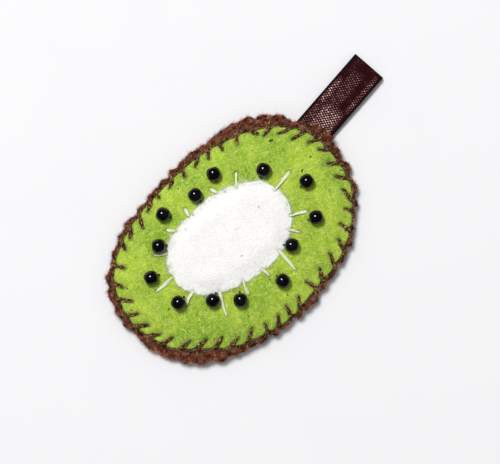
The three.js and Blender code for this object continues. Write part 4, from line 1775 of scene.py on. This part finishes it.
@dataclass
class Ribbon:
    """The satin ribbon: folded in two, its ends sewn under the back felt."""

    form: SliceForm
    width: float = 10.0
    thickness: float = 0.22
    edge_round: float = 0.1
    columns: int = 31
    spacing: float = 0.3
    sewn: float = 6.0
    crown: float = 0.1
    crown_from: Pair = (3.0, 10.0)
    spine: tuple[Pair, ...] = (
        (-6, 1.31), (-2, 1.31), (3, 1.28), (8, 1.1), (13, 0.82), (18, 0.52), (20.2, 0.5), (21.35, 0.82),
        (21.5, 1.2), (20.9, 1.62), (19.4, 1.8), (16, 1.86), (11, 1.84), (6, 1.7), (3, 1.57), (-2, 1.54),
        (-6, 1.54),
    )
    # The floats' colours and the patches below are painted highlights on the satin.
    finish: SatinFinish = SatinFinish(
        "satin_ribbon", ground=(0.024, 0.003, 0.0045), selvage=(0.014, 0.004, 0.008),
        float_highlight=(1.0, 0.84, 0.8), dim_float_highlight=(0.4, 0.13, 0.1), pitch=0.78, row=1.06, slant=0.26,
        half_width=5.0,
        painted_highlights=(
            PaintedHighlight(start=-1.5, end=6.5, middle=-0.8, half=2.7, strength=1.0),
            PaintedHighlight(start=6, end=13.5, middle=3.7, half=0.75, strength=1.0),
            PaintedHighlight(start=-3, end=6, middle=3.4, half=1.4, strength=0.3),
            PaintedHighlight(start=6, end=18, middle=0.7, half=1.6, strength=0.25),
            PaintedHighlight(start=8, end=20, middle=-3.7, half=0.5, strength=0.5),
        ),
    )

    def section(self) -> tuple[Array, Array]:
        """Flat section with rounded edges.

        Returns:
            Places across the ribbon, and heights from its middle, all round the section.
        """
        half, thin = self.width / 2, np.full(self.columns, self.thickness / 2)
        over = np.linspace(1, -1, self.columns) * (half - self.edge_round)
        place = np.concatenate([over, [-half], over[::-1], [half]])
        return place, np.concatenate([thin, [0.0], -thin, [0.0]])

    def build(self) -> None:
        """Carries the section along the folded spine, crowned a little where the ribbon is free."""
        along, height = np.array(self.spine).T
        path = even_path(np.stack([along, np.zeros(len(along)), height], axis=1), self.spacing)
        across = np.array([0.0, 1.0, 0.0])
        inside = np.cross(unit(np.gradient(path, axis=0)), across)
        place, level = self.section()
        points = path[:, None] + across * place[None, :, None] + inside[:, None] * level[None, :, None]
        crown = self.crown * (1 - (2 * place / self.width) ** 2) - self.crown / 2
        points[..., 2] += crown[None, :] * smooth(path[:, 0], *self.crown_from)[:, None]
        cos, sin = math.cos(self.form.ribbon_turn), math.sin(self.form.ribbon_turn)
        turned = np.array([[cos, sin, 0.0], [-sin, cos, 0.0], [0.0, 0.0, 1.0]])
        points = points @ turned + np.array([*self.form.ribbon_base, 0.0])
        run = run_along(path)
        patch = Patch(points, across=np.append(place, place[0]), along=run[-1] - self.sewn - run)
        piece = make_piece("satin_loop", [patch], self.finish.material(), textured=True)
        stands_for("ribbon")


# Camera, floor and light


def stance(right: Array, up: Array, back: Array, place: Array) -> Matrix:
    """Turns an object's axes to three ways and puts it in its place.

    Args:
        right: Way of its X axis.
        up: Way of its Y axis.
        back: Way of its Z axis.
        place: Where it stands, in metres.

    Returns:
        The object's matrix.
    """
    matrix = Matrix.Identity(4)
    for column, axis in enumerate((right, up, back, place)):
        matrix.col[column][:3] = axis
    return matrix


@dataclass
class Studio:
    """A camera straight above, a pale floor and soft light from the upper left."""

    turn: float = math.radians(39.2)
    pixels_per_mm: float = 3.7
    image: tuple[int, int] = (500, 464)
    middle: Pair = (235.0, 240.3)
    distance: float = 600.0
    level: float = 4.0
    sensor: float = 36.0
    nearest: float = 0.01
    floor_half: float = 2.0
    floor_level: float = -2e-5
    floor_tones: tuple[Colour, Colour] = ((0.85, 0.845, 0.862), (0.88, 0.875, 0.89))
    lamp_place: tuple[float, float, float] = (-0.55, 0.85, 1.95)  # right, up and above, in metres
    lamp_size: float = 0.7
    lamp_energy: float = 41.0
    room: float = 0.34
    mirrored_room: float = 0.025

    def axes(self) -> tuple[Array, Array]:
        """The image's right and up in the slice's frame."""
        cos, sin = math.cos(self.turn), math.sin(self.turn)
        return np.array([cos, -sin, 0.0]), np.array([sin, cos, 0.0])

    def build(self) -> None:
        """Sets camera, floor and lights."""
        self.camera()
        self.floor()
        self.lamp()
        self.world()
        bpy.context.scene.view_settings.view_transform = "Standard"

    def camera(self) -> None:
        """A long lens over the image's middle, turned so that the ribbon points up to the right."""
        right, up = self.axes()
        over = right * (self.image[0] / 2 - self.middle[0]) + up * (self.middle[1] - self.image[1] / 2)
        place = over / self.pixels_per_mm + UP * (self.distance + self.level)
        data = bpy.data.cameras.new("camera")
        data.sensor_fit = "HORIZONTAL"
        data.sensor_width = self.sensor
        data.lens = self.pixels_per_mm * self.sensor / self.image[0] * self.distance
        data.clip_start = self.nearest
        camera = put_in_scene("camera", data)
        camera.matrix_world = stance(right, up, UP, place * MM)
        bpy.context.scene.camera = camera

    def floor(self) -> None:
        """A wide flat sheet just under the slice."""
        material, nodes, shader = shader_for("floor")
        tone = nodes.noise(nodes.add("TexCoord").outputs["Object"], scale=40.0, detail=2.0)
        nodes.feed(shader, {"Base Color": nodes.blend(tone, *self.floor_tones), "Roughness": 0.7})
        signs = ((-1, -1), (1, -1), (1, 1), (-1, 1))
        corners = [(x * self.floor_half, y * self.floor_half, self.floor_level) for x, y in signs]
        mesh = bpy.data.meshes.new("floor")
        mesh.from_pydata(corners, [], [(0, 1, 2, 3)])
        mesh.materials.append(material)
        put_in_scene("floor", mesh)

    def lamp(self) -> None:
        """A soft box up to the left of the camera, facing the slice."""
        right, up = self.axes()
        across, along, above = self.lamp_place
        place = right * across + up * along + UP * above
        data = bpy.data.lights.new("soft_box", "AREA")
        data.shape = "DISK"
        data.size = self.lamp_size
        data.energy = self.lamp_energy
        back = unit(place)
        side = unit(np.cross(up, back))
        put_in_scene("soft_box", data).matrix_world = stance(side, np.cross(back, side), back, place)

    def world(self) -> None:
        """Even light all round, from a room that is darker in reflections."""
        world = bpy.data.worlds.new("studio")
        world.use_nodes = True
        nodes = Nodes(world.node_tree)
        white = (1.0, 1.0, 1.0, 1.0)
        room = nodes.add("Background", {"Color": white, "Strength": self.room}).outputs[0]
        mirrored = nodes.add("Background", {"Color": white, "Strength": self.mirrored_room}).outputs[0]
        gloss = nodes.add("LightPath").outputs["Is Glossy Ray"]
        mixed = nodes.add("MixShader", {0: gloss, 1: room, 2: mirrored}).outputs[0]
        nodes.feed(world.node_tree.nodes["World Output"], {"Surface": mixed})
        bpy.context.scene.world = world


def main() -> None:
    """Builds the studio and the slice's pieces in order."""
    logging.basicConfig(level=logging.INFO, format="%(name)s %(message)s")
    Studio().build()
    form = SliceForm()
    Ribbon(form).build()
    group = matted_fibres()
    for felt in (BackFelt, FrontFelt, CoreFelt, Wadding):
        felt(form).build(group)
    for sewing in (EdgeThread, CoreThread, Beads):
        sewing(form).build()


if __name__ == "__main__":
    main()
